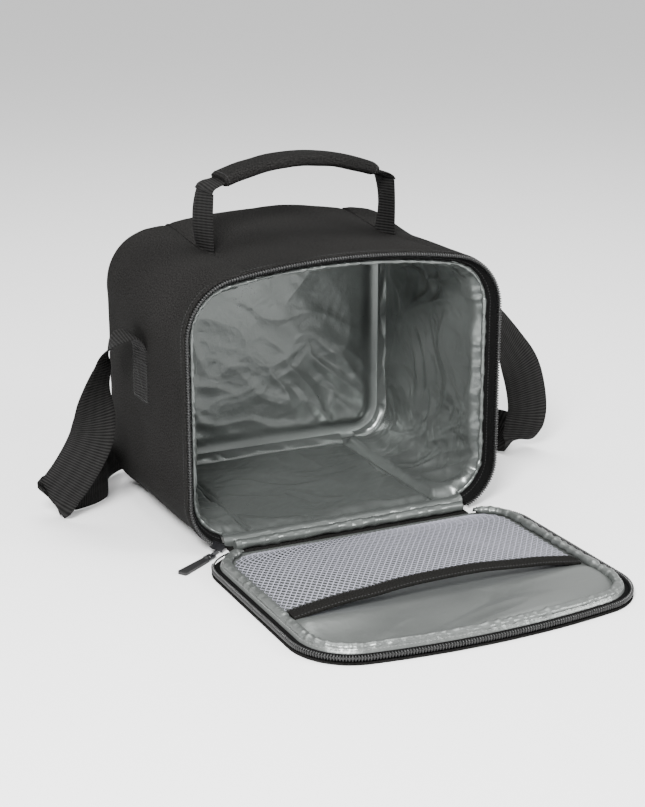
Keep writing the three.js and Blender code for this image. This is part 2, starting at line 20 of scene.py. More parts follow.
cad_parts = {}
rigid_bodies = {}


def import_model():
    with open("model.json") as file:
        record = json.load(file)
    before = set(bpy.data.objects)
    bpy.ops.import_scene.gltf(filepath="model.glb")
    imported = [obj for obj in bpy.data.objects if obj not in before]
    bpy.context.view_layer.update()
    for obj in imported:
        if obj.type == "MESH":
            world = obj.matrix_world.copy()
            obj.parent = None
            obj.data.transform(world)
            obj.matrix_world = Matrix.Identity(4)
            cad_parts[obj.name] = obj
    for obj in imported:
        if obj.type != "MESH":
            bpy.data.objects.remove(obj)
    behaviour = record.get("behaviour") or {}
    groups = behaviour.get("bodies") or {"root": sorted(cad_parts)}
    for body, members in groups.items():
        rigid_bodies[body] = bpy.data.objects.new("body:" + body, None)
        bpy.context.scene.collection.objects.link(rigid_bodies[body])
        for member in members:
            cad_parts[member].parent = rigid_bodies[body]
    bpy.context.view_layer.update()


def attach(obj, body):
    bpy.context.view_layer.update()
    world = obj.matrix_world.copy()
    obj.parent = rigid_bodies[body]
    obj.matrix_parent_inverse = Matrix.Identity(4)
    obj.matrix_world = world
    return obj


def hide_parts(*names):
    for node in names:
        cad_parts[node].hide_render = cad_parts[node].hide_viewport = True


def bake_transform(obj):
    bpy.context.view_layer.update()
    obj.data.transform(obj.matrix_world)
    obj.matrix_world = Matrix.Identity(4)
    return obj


log = logging.getLogger("cooler_bag")

Array = np.ndarray


# ---------------------------------------------------------------- shader sockets
class Sock:
    """A shader output that can be added, multiplied and compared like a number."""

    def __init__(self, tree: bpy.types.NodeTree, out: bpy.types.NodeSocket) -> None:
        """Wraps one output socket of a tree."""
        self.tree = tree
        self.out = out

    def math(self, kind: str, *others: "Sock | float") -> "Sock":
        """Puts a Math node after this socket.

        Args:
            kind: the Math node's operation.
            others: the second and third inputs.

        Returns:
            The node's output.
        """
        node = self.tree.nodes.new("ShaderNodeMath")
        node.operation = kind
        self.tree.links.new(self.out, node.inputs[0])
        for slot, other in zip(node.inputs[1:], others):
            if isinstance(other, Sock):
                self.tree.links.new(other.out, slot)
            else:
                slot.default_value = float(other)
        return Sock(self.tree, node.outputs[0])

    def __add__(self, other: "Sock | float") -> "Sock":
        """self + other."""
        return self.math("ADD", other)

    def __sub__(self, other: "Sock | float") -> "Sock":
        """self - other."""
        return self.math("SUBTRACT", other)

    def __rsub__(self, other: float) -> "Sock":
        """other - self."""
        return (self * -1.0) + other

    def __mul__(self, other: "Sock | float") -> "Sock":
        """self * other."""
        return self.math("MULTIPLY", other)

    def sin(self) -> "Sock":
        """The sine."""
        return self.math("SINE")

    def abs(self) -> "Sock":
        """The size without its sign."""
        return self.math("ABSOLUTE")

    def wrap(self, top: float = 1.0) -> "Sock":
        """The remainder after division by top, always positive."""
        return self.math("FLOORED_MODULO", top)

    def clamp(self, low: float = 0.0, high: float = 1.0) -> "Sock":
        """The value kept between two limits."""
        return self.math("MAXIMUM", low).math("MINIMUM", high)


class Paint:
    """A material under construction: its tree, its shader and short ways to feed them."""

    def __init__(self, name: str) -> None:
        """Starts a material with one Principled shader."""
        self.material = bpy.data.materials.new(name)
        self.material.use_nodes = True
        self.tree = self.material.node_tree
        self.shader = self.tree.nodes["Principled BSDF"]

    def put(self, name: str, value: object) -> None:
        """Sets a shader input, either to a constant or from a socket."""
        slot = self.shader.inputs[name]
        if isinstance(value, Sock):
            self.tree.links.new(value.out, slot)
        else:
            slot.default_value = value

    def place(self) -> tuple[Sock, Sock, Sock]:
        """The cloth's own coordinates at the surface point, in metres; the third is empty."""
        where = self.tree.nodes.new("ShaderNodeTexCoord")
        split = self.tree.nodes.new("ShaderNodeSeparateXYZ")
        self.tree.links.new(where.outputs["UV"], split.inputs[0])
        return tuple(Sock(self.tree, s) for s in split.outputs)

    def noise(self, scale: float, detail: float = 2.0, kind: str = "Object") -> Sock:
        """A soft noise between 0 and 1, with scale in cells per metre."""
        where = self.tree.nodes.new("ShaderNodeTexCoord")
        node = self.tree.nodes.new("ShaderNodeTexNoise")
        node.inputs["Scale"].default_value = scale
        node.inputs["Detail"].default_value = detail
        self.tree.links.new(where.outputs[kind], node.inputs["Vector"])
        return Sock(self.tree, node.outputs["Fac"])

    def mix(self, factor: Sock, low: "Colour", high: "Colour") -> Sock:
        """A colour between two, by factor."""
        node = self.tree.nodes.new("ShaderNodeMix")
        node.data_type = "RGBA"
        colour_in = [s for s in node.inputs if s.type == "RGBA"]
        self.tree.links.new(factor.out, node.inputs[0])
        colour_in[0].default_value = (*low, 1.0)
        colour_in[1].default_value = (*high, 1.0)
        return Sock(self.tree, next(s for s in node.outputs if s.type == "RGBA"))

    def bump(self, height: Sock, depth: float) -> None:
        """Roughens the surface by a height from 0 to 1, depth metres tall."""
        node = self.tree.nodes.new("ShaderNodeBump")
        node.inputs["Strength"].default_value = 1.0
        node.inputs["Distance"].default_value = depth
        self.tree.links.new(height.out, node.inputs["Height"])
        self.put("Normal", Sock(self.tree, node.outputs[0]))


Colour = tuple[float, float, float]


def shade(colour: Colour, factor: float) -> Colour:
    """A colour made lighter or darker by a factor."""
    return tuple(min(1.0, c * factor) for c in colour)


# ---------------------------------------------------------------- finishes
class Slot(Enum):
    """The record's material slots."""

    SHELL = "shell"
    WEBBING = "webbing"
    LINER = "liner"
    FOAM = "foam"
    MESH = "mesh"
    BINDING = "binding"
    ZIP_TAPE = "zip_tape"
    ZIP_COIL = "zip_coil"
    ZIP_METAL = "zip_metal"
    PULL = "pull"
    PLASTIC = "plastic"


@dataclass(frozen=True)
class Weave:
    """A plain weave seen up close: two sets of threads, with uneven yarn and faint wear."""

    name: str
    colour: Colour
    pitch: float = 0.0007
    depth: float = 0.00018
    contrast: float = 0.5
    roughness: float = 0.85

    def build(self) -> bpy.types.Material:
        """Makes the material."""
        paint = Paint(self.name)
        u, v, _ = paint.place()
        warp = (u * (math.pi / self.pitch)).sin()
        weft = (v * (math.pi / self.pitch)).sin()
        thread = (warp * weft) * 0.5 + 0.5
        yarn = paint.noise(2600.0, 1.0, "UV")
        slub = paint.noise(800.0, 3.0, "UV")
        cloud = paint.noise(14.0, 3.0)
        tone = (thread * 0.2 + yarn * 0.5 + slub * 2.8 + cloud * 0.4 - 1.45).clamp()
        low = shade(self.colour, 1.0 - self.contrast)
        high = shade(self.colour, 1.0 + self.contrast)
        paint.put("Base Color", paint.mix(tone, low, high))
        paint.put("Roughness", (cloud * 0.12 + (self.roughness - 0.06)).clamp())
        paint.put("Specular IOR Level", 0.03)
        paint.bump(thread * 0.5 + yarn * 0.4 + slub * 1.2, self.depth)
        return paint.material


@dataclass(frozen=True)
class Webbing:
    """Flat woven webbing: ribs across it, woven chevrons along it, and firm edges, with painted shade
    between the ribs and a painted highlight on their crests.
    """

    name: str
    colour: Colour
    rib: float = 0.0025
    row: float = 0.0095
    depth: float = 0.0007

    def build(self) -> bpy.types.Material:
        """Makes the material. U runs along the webbing and V across it."""
        paint = Paint(self.name)
        u, v, _ = paint.place()
        column = (v * (1.0 / self.row)).wrap()
        ribs = ((u * (1.0 / self.rib) + v * 45.0) * (2 * math.pi)).sin() * 0.5 + 0.5
        groove = (1.0 - (column - 0.5).abs() * 2.0).clamp()
        yarn = paint.noise(3000.0, 1.0, "UV")
        # The rib and column pattern is the weave's own, but its colour runs far past the yarn's: painted
        # highlight on the crests, painted shade between them.
        tone = (ribs * 0.7 + groove * 0.15 + yarn * 0.15).clamp()
        paint.put("Base Color", paint.mix(tone, shade(self.colour, 0.25), shade(self.colour, 2.6)))
        paint.put("Roughness", 0.75)
        paint.put("Specular IOR Level", 0.06)
        paint.bump(ribs * 0.6 + groove * 0.3 + yarn * 0.25, self.depth)
        return paint.material


@dataclass(frozen=True)
class Satin:
    """The liner: a thin coated cloth with a soft metallic gloss and fine creases."""

    name: str
    colour: Colour
    metal: float = 0.72
    roughness: float = 0.36
    crease: float = 0.00022

    def build(self) -> bpy.types.Material:
        """Makes the material."""
        paint = Paint(self.name)
        cloud = paint.noise(22.0, 4.0)
        crumple = paint.noise(95.0, 5.0)
        grain = paint.noise(900.0, 2.0)
        ridge = 1.0 - (crumple * 2.0 - 1.0).abs()
        tone = (cloud * 0.7 + grain * 0.3).clamp()
        paint.put("Base Color", paint.mix(tone, shade(self.colour, 0.88), shade(self.colour, 1.1)))
        paint.put("Metallic", self.metal)
        paint.put("Roughness", (cloud * 0.16 + grain * 0.06 + (self.roughness - 0.11)).clamp())
        paint.bump(ridge + grain * 0.05, self.crease)
        return paint.material


@dataclass(frozen=True)
class Moulded:
    """A moulded or painted part with a fine grain in its surface."""

    name: str
    colour: Colour
    roughness: float = 0.45
    metal: float = 0.0
    grain: float = 0.00004
    cells: float = 2500.0

    def build(self) -> bpy.types.Material:
        """Makes the material."""
        paint = Paint(self.name)
        speck = paint.noise(self.cells, 2.0)
        wear = paint.noise(120.0, 3.0)
        tone = (speck * 0.4 + wear * 0.6).clamp()
        paint.put("Base Color", paint.mix(tone, shade(self.colour, 0.7), shade(self.colour, 1.4)))
        paint.put("Roughness", (wear * 0.2 + (self.roughness - 0.1)).clamp())
        paint.put("Metallic", self.metal)
        paint.bump(speck, self.grain)
        return paint.material


@dataclass(frozen=True)
class Foam:
    """Closed-cell foam, seen only at cut edges."""

    name: str
    colour: Colour

    def build(self) -> bpy.types.Material:
        """Makes the material."""
        paint = Paint(self.name)
        cell = paint.noise(1500.0, 2.0)
        paint.put("Base Color", paint.mix(cell, shade(self.colour, 0.85), self.colour))
        paint.put("Roughness", 0.9)
        paint.bump(cell, 0.0002)
        return paint.material


@dataclass(frozen=True)
class Ground:
    """The studio floor."""

    name: str
    colour: Colour

    def build(self) -> bpy.types.Material:
        """Makes the material."""
        paint = Paint(self.name)
        cloud = paint.noise(3.0, 1.0)
        paint.put("Base Color", paint.mix(cloud, shade(self.colour, 0.995), self.colour))
        paint.put("Roughness", 0.9)
        paint.put("Specular IOR Level", 0.0)
        return paint.material


Finish = Weave | Webbing | Satin | Moulded | Foam | Ground


@dataclass(frozen=True)
class Kit:
    """Every finish on the bag, by what it covers."""

    shell: Weave = Weave("charcoal_canvas", (0.0108, 0.0105, 0.0101), contrast=0.85)
    sleeve: Weave = Weave("grip_canvas", (0.0098, 0.0095, 0.0092), contrast=0.85)
    webbing: Webbing = Webbing("charcoal_webbing", (0.0078, 0.0076, 0.0074))
    liner: Satin = Satin("silver_liner", (0.135, 0.146, 0.140), 0.62, 0.31)
    # The lid lining is a second copy of the silver liner, its colour lowered as painted shade under the
    # mesh pocket, over the whole lid lining.
    lid_liner: Satin = Satin("silver_lid_liner_painted_shade", (0.145, 0.154, 0.148), 0.6, 0.38, 0.0002)
    hem: Satin = Satin("silver_hem", (0.16, 0.17, 0.164), 0.7, 0.38, 0.0005)
    foam: Foam = Foam("grey_foam", (0.16, 0.16, 0.155))
    mesh: Weave = Weave("lavender_mesh", (0.27, 0.27, 0.315), 0.0004, 0.0001, 0.15, 0.7)
    binding: Weave = Weave("black_binding", (0.0085, 0.0083, 0.0078), 0.0009, 0.0002, 0.5, 0.75)
    tape: Weave = Weave("black_tape", (0.0045, 0.0045, 0.0045), 0.0006, 0.0002, 0.5, 0.8)
    coil: Moulded = Moulded("black_nylon", (0.010, 0.010, 0.010), 0.3)
    metal: Moulded = Moulded("black_zinc", (0.02, 0.02, 0.022), 0.35, 0.6)
    pull: Moulded = Moulded("pull_grain", (0.008, 0.008, 0.0085), 0.55, 0.0, 0.0003, 900.0)
    plastic: Moulded = Moulded("black_buckle", (0.015, 0.015, 0.015), 0.42)
    thread: Moulded = Moulded("black_thread", (0.011, 0.011, 0.011), 0.8)
    pale_thread: Moulded = Moulded("grey_thread", (0.17, 0.175, 0.17), 0.6)
    floor: Ground = Ground("studio_floor", (0.95, 0.95, 0.95))


KIT = Kit()
_materials: dict[str, bpy.types.Material] = {}


def dressed(finish: Finish) -> bpy.types.Material:
    """The material of a finish, made once."""
    if finish.name not in _materials:
        _materials[finish.name] = finish.build()
    return _materials[finish.name]


# ---------------------------------------------------------------- surfaces
def unit(vectors: Array) -> Array:
    """Vectors scaled to length one."""
    return vectors / np.maximum(np.linalg.norm(vectors, axis=-1, keepdims=True), 1e-12)


def smooth(x: Array | float) -> Array | float:
    """A soft step from 0 to 1."""
    x = np.clip(x, 0.0, 1.0)
    return x * x * (3 - 2 * x)


def distances(line: Array) -> Array:
    """How far along a line each of its points lies."""
    return np.concatenate([[0.0], np.cumsum(np.linalg.norm(np.diff(line, axis=0), axis=1))])


def read_at(at: Array, run: Array, values: Array) -> Array:
    """Rows of values, given at distances along a line, read at other distances."""
    return np.stack([np.interp(at, run, values[:, k]) for k in range(values.shape[1])], -1)


def perlin(points: Array, seed: float = 0.0) -> Array:
    """Perlin noise from -1 to 1 at rows of three coordinates."""
    flat = points.reshape(-1, 3) + np.array([seed * 7.31, seed * 3.17, seed * 5.03])
    values = [noise.noise(Vector(p)) for p in flat.tolist()]
    return np.array(values).reshape(points.shape[:-1])


def at_depth(flat: Array, y: Array | float) -> Array:
    """Points from X and Z pairs and their Y."""
    return np.stack([flat[..., 0], np.broadcast_to(y, flat.shape[:-1]), flat[..., 1]], -1)


def line_noise(run: Array, cell: float, seed: float, shift: float = 0.0) -> Array:
    """Noise along a line.

    Args:
        run: the distance along it.
        cell: the length of one swell.
        seed: picks the noise.
        shift: steps sideways in the noise.

    Returns:
        Values from -1 to 1.
    """
    along = run / cell
    return perlin(np.stack([along, 0 * along + shift / cell, 0 * along], -1), seed)


def skin_noise(run: Array, turn: Array, cell: float, seed: float) -> Array:
    """Noise over the skin of a roll.

    Args:
        run: the distance along it.
        turn: the angles round it.
        cell: the length of one swell along it.
        seed: picks the noise.

    Returns:
        Values from -1 to 1, by ring and round each ring.
    """
    along, angle = np.broadcast_arrays(run[:, None] / cell, turn[None])
    return perlin(np.stack([along, angle, 0 * along], -1), seed)


class Crest(Enum):
    """The shape of a fold's crest."""

    SOFT = "soft"
    RIDGE = "ridge"
    CREASE = "crease"


@dataclass(frozen=True)
class Wrinkle:
    """One family of folds: how wide, how long, how tall, and how sharp along the crest."""

    across: float
    along: float
    height: float
    seed: float = 0.0
    crest: Crest = Crest.SOFT
    turn: float = 0.0
    wander: float = 0.5

    def lift(self, u: Array, v: Array) -> Array:
        """The height of the folds at surface coordinates in metres.

        Args:
            u: the first coordinate.
            v: the second coordinate.

        Returns:
            Heights, in metres: round zero where soft, and never below it otherwise.
        """
        c, s = math.cos(self.turn), math.sin(self.turn)
        a, b = u * c + v * s, v * c - u * s
        depth = np.full_like(a, self.seed)
        bend = perlin(np.stack([a / self.along, b / self.along, depth], -1), 3.3)
        p = np.stack([a / self.across + bend * self.wander, b / self.along, depth], -1)
        n = perlin(p, self.seed)
        if self.crest is Crest.SOFT:
            return self.height * n * 1.6
        slope = 1 - np.minimum(1.0, np.abs(n) * 2.2)
        return self.height * (slope**2 if self.crest is Crest.RIDGE else slope)


@dataclass
class Grid:
    """A rectangular net of points, with surface coordinates in metres."""

    points: Array
    closed: bool = False
    u: Array = field(init=False)
    v: Array = field(init=False)

    def __post_init__(self) -> None:
        """Measures the net along its rows and columns."""
        p = self.points
        du = np.linalg.norm(np.diff(p, axis=1), axis=2).mean(axis=0)
        dv = np.linalg.norm(np.diff(p, axis=0), axis=2).mean(axis=1)
        u = np.concatenate([[0.0], np.cumsum(du)])
        v = np.concatenate([[0.0], np.cumsum(dv)])
        self.u, self.v = np.meshgrid(u, v)

    def normals(self) -> Array:
        """Unit normals: the direction along a row crossed with that along a column."""
        p = self.points
        if self.closed:
            pad = np.concatenate([p[:, -1:], p, p[:, :1]], axis=1)
            along = (pad[:, 2:] - pad[:, :-2]) / 2
        else:
            along = np.gradient(p, axis=1)
        return unit(np.cross(along, np.gradient(p, axis=0)))

    def away_from(self, backing: Array) -> float:
        """1 where the normals point away from a backing, and -1 where they point at it."""
        return float(np.sign(np.sum(self.normals() * (self.points - backing))))

    def moved(self, height: Array | float) -> "Grid":
        """The net pushed along its normals."""
        lift = np.broadcast_to(height, self.points.shape[:2])
        return Grid(self.points + self.normals() * lift[..., None], self.closed)


def link(mesh: bpy.types.Mesh, name: str) -> bpy.types.Object:
    """Puts a mesh in the scene as an object at the origin."""
    obj = bpy.data.objects.new(name, mesh)
    bpy.context.scene.collection.objects.link(obj)
    return obj


def facing_out(mesh: bpy.types.Mesh) -> None:
    """Turns a closed mesh's faces outwards, by the sign of its volume."""
    mesh.calc_loop_triangles()
    co = np.zeros(len(mesh.vertices) * 3)
    mesh.vertices.foreach_get("co", co)
    co = co.reshape(-1, 3)
    tri = np.zeros(len(mesh.loop_triangles) * 3, int)
    mesh.loop_triangles.foreach_get("vertices", tri)
    a, b, c = (co[tri.reshape(-1, 3)[:, k]] for k in range(3))
    if np.einsum("ij,ij->i", a, np.cross(b, c)).sum() < 0:
        mesh.flip_normals()


def finish_mesh(
    name: str, verts: Array, faces: Array, uv: Array | None, finish: Finish, crease: float = 40.0
) -> bpy.types.Object:
    """Makes an object of a closed quad mesh.

    Args:
        name: the piece's name.
        verts: its points.
        faces: four corners a face; a repeated corner makes a triangle.
        uv: surface coordinates for each point, or None.
        finish: what it is made of.
        crease: the angle, in degrees, past which an edge stays sharp.

    Returns:
        The object.
    """
    mesh = bpy.data.meshes.new(name)
    rows = [tuple(dict.fromkeys(f)) for f in np.asarray(faces).tolist()]
    mesh.from_pydata(verts.tolist(), [], [r for r in rows if len(r) > 2])
    mesh.validate()
    if uv is not None:
        layer = mesh.uv_layers.new(name="UVMap")
        index = np.zeros(len(mesh.loops), int)
        mesh.loops.foreach_get("vertex_index", index)
        layer.data.foreach_set("uv", uv[index].astype(np.float32).ravel())
    facing_out(mesh)
    mesh.polygons.foreach_set("use_smooth", np.ones(len(mesh.polygons), bool))
    mesh.set_sharp_from_angle(angle=math.radians(crease))
    mesh.materials.append(dressed(finish))
    return link(mesh, name)


def slab(name: str, face: Grid, backing: Array, finish: Finish) -> bpy.types.Object:
    """A closed sheet between a face and its backing, which share their rows and columns.

    Args:
        name: the piece's name.
        face: the visible side.
        backing: the points of the hidden side.
        finish: what it is made of.

    Returns:
        The object.
    """
    rows, cols = face.points.shape[:2]
    n = rows * cols
    i = np.arange(n).reshape(rows, cols)
    if face.closed:
        i = np.concatenate([i, i[:, :1]], axis=1)
    quads: list[Array] = []

    def patch(a: Array, b: Array, c: Array, d: Array) -> None:
        """Adds the faces between four matching blocks of corners."""
        quads.append(np.stack([a, b, c, d], -1).reshape(-1, 4))

    patch(i[:-1, :-1], i[:-1, 1:], i[1:, 1:], i[1:, :-1])
    j = i + n
    patch(j[:-1, :-1], j[1:, :-1], j[1:, 1:], j[:-1, 1:])
    patch(i[0, :-1], j[0, :-1], j[0, 1:], i[0, 1:])
    patch(i[-1, :-1], i[-1, 1:], j[-1, 1:], j[-1, :-1])
    if not face.closed:
        patch(i[:-1, 0], i[1:, 0], j[1:, 0], j[:-1, 0])
        patch(i[:-1, -1], j[:-1, -1], j[1:, -1], i[1:, -1])
    verts = np.concatenate([face.points.reshape(-1, 3), backing.reshape(-1, 3)])
    uv = np.stack([face.u, face.v], -1).reshape(-1, 2)
    return finish_mesh(name, verts, np.concatenate(quads), np.concatenate([uv, uv]), finish)


def tube(name: str, rings: Array, finish: Finish, crease: float = 40.0) -> bpy.types.Object:
    """A closed tube through rings of points, with flat ends.

    Args:
        name: the piece's name.
        rings: points, by ring and round each ring.
        finish: what it is made of.
        crease: the angle past which an edge stays sharp.

    Returns:
        The object.
    """
    net = Grid(rings, True)
    rows, cols = rings.shape[:2]
    i = np.arange(rows * cols).reshape(rows, cols)
    i = np.concatenate([i, i[:, :1]], axis=1)
    quads = np.stack([i[:-1, :-1], i[:-1, 1:], i[1:, 1:], i[1:, :-1]], -1).reshape(-1, 4)
    first, last = rows * cols, rows * cols + 1
    cap = [[i[0, k], first, first, i[0, k + 1]] for k in range(cols)]
    cap += [[i[-1, k + 1], last, last, i[-1, k]] for k in range(cols)]
    verts = np.concatenate([rings.reshape(-1, 3), rings[0].mean(0)[None], rings[-1].mean(0)[None]])
    uv = np.stack([net.v, net.u], -1).reshape(-1, 2)
    uv = np.concatenate([uv, [[0.0, 0.0], [net.v.max(), 0.0]]])
    return finish_mesh(name, verts, np.concatenate([quads, cap]), uv, finish, crease)


def set_uv(obj: bpy.types.Object, flat: Array) -> None:
    """Gives an object surface coordinates, one pair a point."""
    mesh = obj.data
    index = np.zeros(len(mesh.loops), int)
    mesh.loops.foreach_get("vertex_index", index)
    mesh.uv_layers[0].data.foreach_set("uv", flat[index].astype(np.float32).ravel())


def plan_uv(obj: bpy.types.Object, first: int, second: int) -> None:
    """Lays an object's surface coordinates flat along two of its axes."""
    co = np.zeros(len(obj.data.vertices) * 3)
    obj.data.vertices.foreach_get("co", co)
    set_uv(obj, co.reshape(-1, 3)[:, [first, second]])


def plump(
    obj: bpy.types.Object, pinned: list[int], pressure: float, cap: float, frames: int = 18
) -> None:
    """Swells a padded piece with cloth pressure, while its sewn points stay where they are.

    Args:
        obj: the piece, whose mesh is changed.
        pinned: the sewn points' numbers.
        pressure: the cloth's inner pressure.
        cap: the furthest that a point may move.
        frames: how long the cloth settles.
    """
    obj.vertex_groups.new(name="sewn").add(pinned, 1.0, "REPLACE")
    modifier = obj.modifiers.new("cloth", "CLOTH")
    cloth = modifier.settings
    cloth.quality = 6
    cloth.mass = 0.2
    cloth.tension_stiffness = cloth.compression_stiffness = 20
    cloth.shear_stiffness = 8
    cloth.bending_stiffness = 1.0
    cloth.use_pressure = True
    cloth.uniform_pressure_force = pressure
    cloth.effector_weights.gravity = 0
    cloth.vertex_group_mass = "sewn"
    modifier.point_cache.frame_start, modifier.point_cache.frame_end = 1, frames
    scene = bpy.context.scene
    for frame in range(1, frames + 1):
        scene.frame_set(frame)
    ready = obj.evaluated_get(bpy.context.evaluated_depsgraph_get()).data
    rest, now = (np.zeros(len(obj.data.vertices) * 3) for _ in range(2))
    obj.data.vertices.foreach_get("co", rest)
    ready.vertices.foreach_get("co", now)
    move = (now - rest).reshape(-1, 3)
    far = np.linalg.norm(move, axis=1, keepdims=True)
    log.info("%s moved by up to %.1f mm before the cap", obj.name, far.max() * 1000)
    move *= np.minimum(1.0, cap / np.maximum(far, 1e-9))
    obj.modifiers.remove(modifier)
    obj.vertex_groups.clear()
    obj.data.vertices.foreach_set("co", rest + move.ravel())
    obj.data.update()
    scene.frame_set(1)


def curve_through(points: Array, count: int) -> Array:
    """Points evenly along a smooth curve through the given ones."""
    p = np.vstack([2 * points[0] - points[1], points, 2 * points[-1] - points[-2]])
    fine = []
    t = np.linspace(0, 1, 24, endpoint=False)[:, None]
    for a, b, c, d in zip(p[:-3], p[1:-2], p[2:-1], p[3:]):
        square, cube = 2 * a - 5 * b + 4 * c - d, 3 * b - a - 3 * c + d
        fine.append(0.5 * (2 * b + (c - a) * t + square * t**2 + cube * t**3))
    fine = np.vstack([*fine, points[-1:]])
    run = distances(fine[:, :3])
    return read_at(np.linspace(0, run[-1], count), run, fine)


# ---------------------------------------------------------------- geometry trees
class Grower:
    """A geometry tree with named inputs, and short ways to fill it."""

    def __init__(self, name: str, inputs: dict[str, str]) -> None:
        """Starts a tree that takes and gives geometry.

        Args:
            name: the tree's name.
            inputs: each other input's name and kind.
        """
        self.tree = bpy.data.node_groups.new(name, "GeometryNodeTree")
        for socket, kind in {"Geometry": "Geometry", **inputs}.items():
            self.tree.interface.new_socket(socket, in_out="INPUT", socket_type=f"NodeSocket{kind}")
        self.tree.interface.new_socket("Geometry", in_out="OUTPUT", socket_type="NodeSocketGeometry")
        self.new, self.join = self.tree.nodes.new, self.tree.links.new
        self.into, self.out = self.new("NodeGroupInput"), self.new("NodeGroupOutput")

    def dress(self, geometry: bpy.types.NodeSocket) -> None:
        """Ends the tree: gives the geometry its material and sends it out."""
        dress = self.new("GeometryNodeSetMaterial")
        self.join(geometry, dress.inputs["Geometry"])
        self.join(self.into.outputs["Material"], dress.inputs["Material"])
        self.join(dress.outputs[0], self.out.inputs[0])

    def grow(self, seed: bpy.types.Object, name: str, values: dict[str, object]) -> bpy.types.Mesh:
        """Runs the tree on an object, which is used up.

        Args:
            seed: the object.
            name: the new mesh's name.
            values: the tree's inputs.

        Returns:
            The mesh that the tree makes.
        """
        modifier = seed.modifiers.new("grow", "NODES")
        modifier.node_group = self.tree
        for item in self.tree.interface.items_tree:
            if item.in_out == "INPUT" and item.name in values:
                modifier[item.identifier] = values[item.name]
        graph = bpy.context.evaluated_depsgraph_get()
        made = bpy.data.meshes.new_from_object(seed.evaluated_get(graph))
        made.name = name
        bpy.data.objects.remove(seed)
        return made


# ---------------------------------------------------------------- repeated small parts
class Repeater:
    """A geometry tree that sets one small rounded part at every point of a row."""

    made: Grower | None = None

    @classmethod
    def build(cls) -> Grower:
        """Makes the tree once: a rounded pill on each point, turned by the point's own directions."""
        if cls.made:
            return cls.made
        sizes = dict.fromkeys(("Length", "Width", "Height", "Spread"), "Float")
        grower = Grower("row_of_pills", {**sizes, "Seed": "Int", "Material": "Material"})
        new, join, into = grower.new, grower.join, grower.into
        pill = new("GeometryNodeMeshUVSphere")
        pill.inputs["Segments"].default_value = 8
        pill.inputs["Rings"].default_value = 5
        pill.inputs["Radius"].default_value = 0.5
        size = new("ShaderNodeCombineXYZ")
        for axis, name in zip("XYZ", sizes):
            join(into.outputs[name], size.inputs[axis])
        turn = new("FunctionNodeAxesToRotation")
        turn.primary_axis, turn.secondary_axis = "X", "Y"
        for slot, name in enumerate(("along", "across")):
            direction = new("GeometryNodeInputNamedAttribute")
            direction.data_type = "FLOAT_VECTOR"
            direction.inputs["Name"].default_value = name
            join(direction.outputs[0], turn.inputs[slot])
        chance = new("FunctionNodeRandomValue")
        chance.data_type = "FLOAT"
        limits = [s for s in chance.inputs if s.type == "VALUE" and s.name in ("Min", "Max")]
        for limit, kind in zip(limits, ("SUBTRACT", "ADD")):
            edge = new("ShaderNodeMath")
            edge.operation = kind
            edge.inputs[0].default_value = 1.0
            join(into.outputs["Spread"], edge.inputs[1])
            join(edge.outputs[0], limit)
        join(into.outputs["Seed"], chance.inputs["Seed"])
        scale = new("ShaderNodeVectorMath")
        scale.operation = "SCALE"
        join(size.outputs[0], scale.inputs[0])
        value = next(s for s in chance.outputs if s.type == "VALUE" and s.enabled)
        join(value, scale.inputs["Scale"])
        put = new("GeometryNodeInstanceOnPoints")
        join(into.outputs["Geometry"], put.inputs["Points"])
        join(pill.outputs["Mesh"], put.inputs["Instance"])
        join(turn.outputs[0], put.inputs["Rotation"])
        join(scale.outputs[0], put.inputs["Scale"])
        real, soft = new("GeometryNodeRealizeInstances"), new("GeometryNodeSetShadeSmooth")
        join(put.outputs[0], real.inputs[0])
        join(real.outputs[0], soft.inputs[0])
        grower.dress(soft.outputs[0])
        cls.made = grower
        return grower


def pills(
    name: str,
    points: Array,
    along: Array,
    across: Array,
    size: tuple[float, float, float],
    finish: Finish,
    spread: float = 0.06,
    seed: int = 1,
) -> bpy.types.Object:
    """Small rounded parts in rows, such as zip teeth and stitches.

    Args:
        name: the piece's name.
        points: where each stands.
        along: the direction of each one's length.
        across: the direction of each one's width.
        size: length, width and height.
        finish: what they are made of.
        spread: how much their sizes vary, as a share.
        seed: the number behind that variation.

    Returns:
        One plain mesh object with all of them.
    """
    mesh = bpy.data.meshes.new(name + "_points")
    mesh.from_pydata(points.tolist(), [], [])
    for key, values in (("along", along), ("across", across)):
        layer = mesh.attributes.new(key, "FLOAT_VECTOR", "POINT")
        layer.data.foreach_set("vector", np.asarray(values, np.float32).ravel())
    values = dict(zip(("Length", "Width", "Height"), size))
    values.update(Spread=spread, Seed=seed, Material=dressed(finish))
    return link(Repeater.build().grow(link(mesh, name + "_points"), name, values), name)


THREAD_WIDTH = 0.00075
THREAD_HEIGHT = 0.0006


def stitches(
    name: str, path: Array, up: Array, finish: Finish, pitch: float = 0.003, gap: float = 0.3
) -> bpy.types.Object:
    """A row of stitches along a path, lying in the surface.

    Args:
        name: the piece's name.
        path: points along the seam.
        up: the surface's normal at each point.
        finish: the thread.
        pitch: from stitch to stitch.
        gap: the share of the pitch that is left open.

    Returns:
        The object.
    """
    run = distances(path)
    at = np.arange(pitch / 2, run[-1], pitch)
    along = unit(read_at(at + pitch / 3, run, path) - read_at(at - pitch / 3, run, path))
    rise = unit(read_at(at, run, up))
    size = (pitch * (1 - gap), THREAD_WIDTH, THREAD_HEIGHT)
    where = read_at(at, run, path)
    return pills(name, where, along, unit(np.cross(rise, along)), size, finish, 0.04, 3)


# ---------------------------------------------------------------- the bag's outline
WALL_ENDS = 42.0  # degrees round the back edge where a wall's cloth stops
REAR_STARTS = 44.0  # degrees round the back edge where the back's cloth starts
ALMOST = 0.9995  # how nearly the rings of a plate close to its middle


class Side(Enum):
    """A stretch of the outline."""

    TOP = "top"
    LEFT = "left"
    RIGHT = "right"
    BASE = "base"


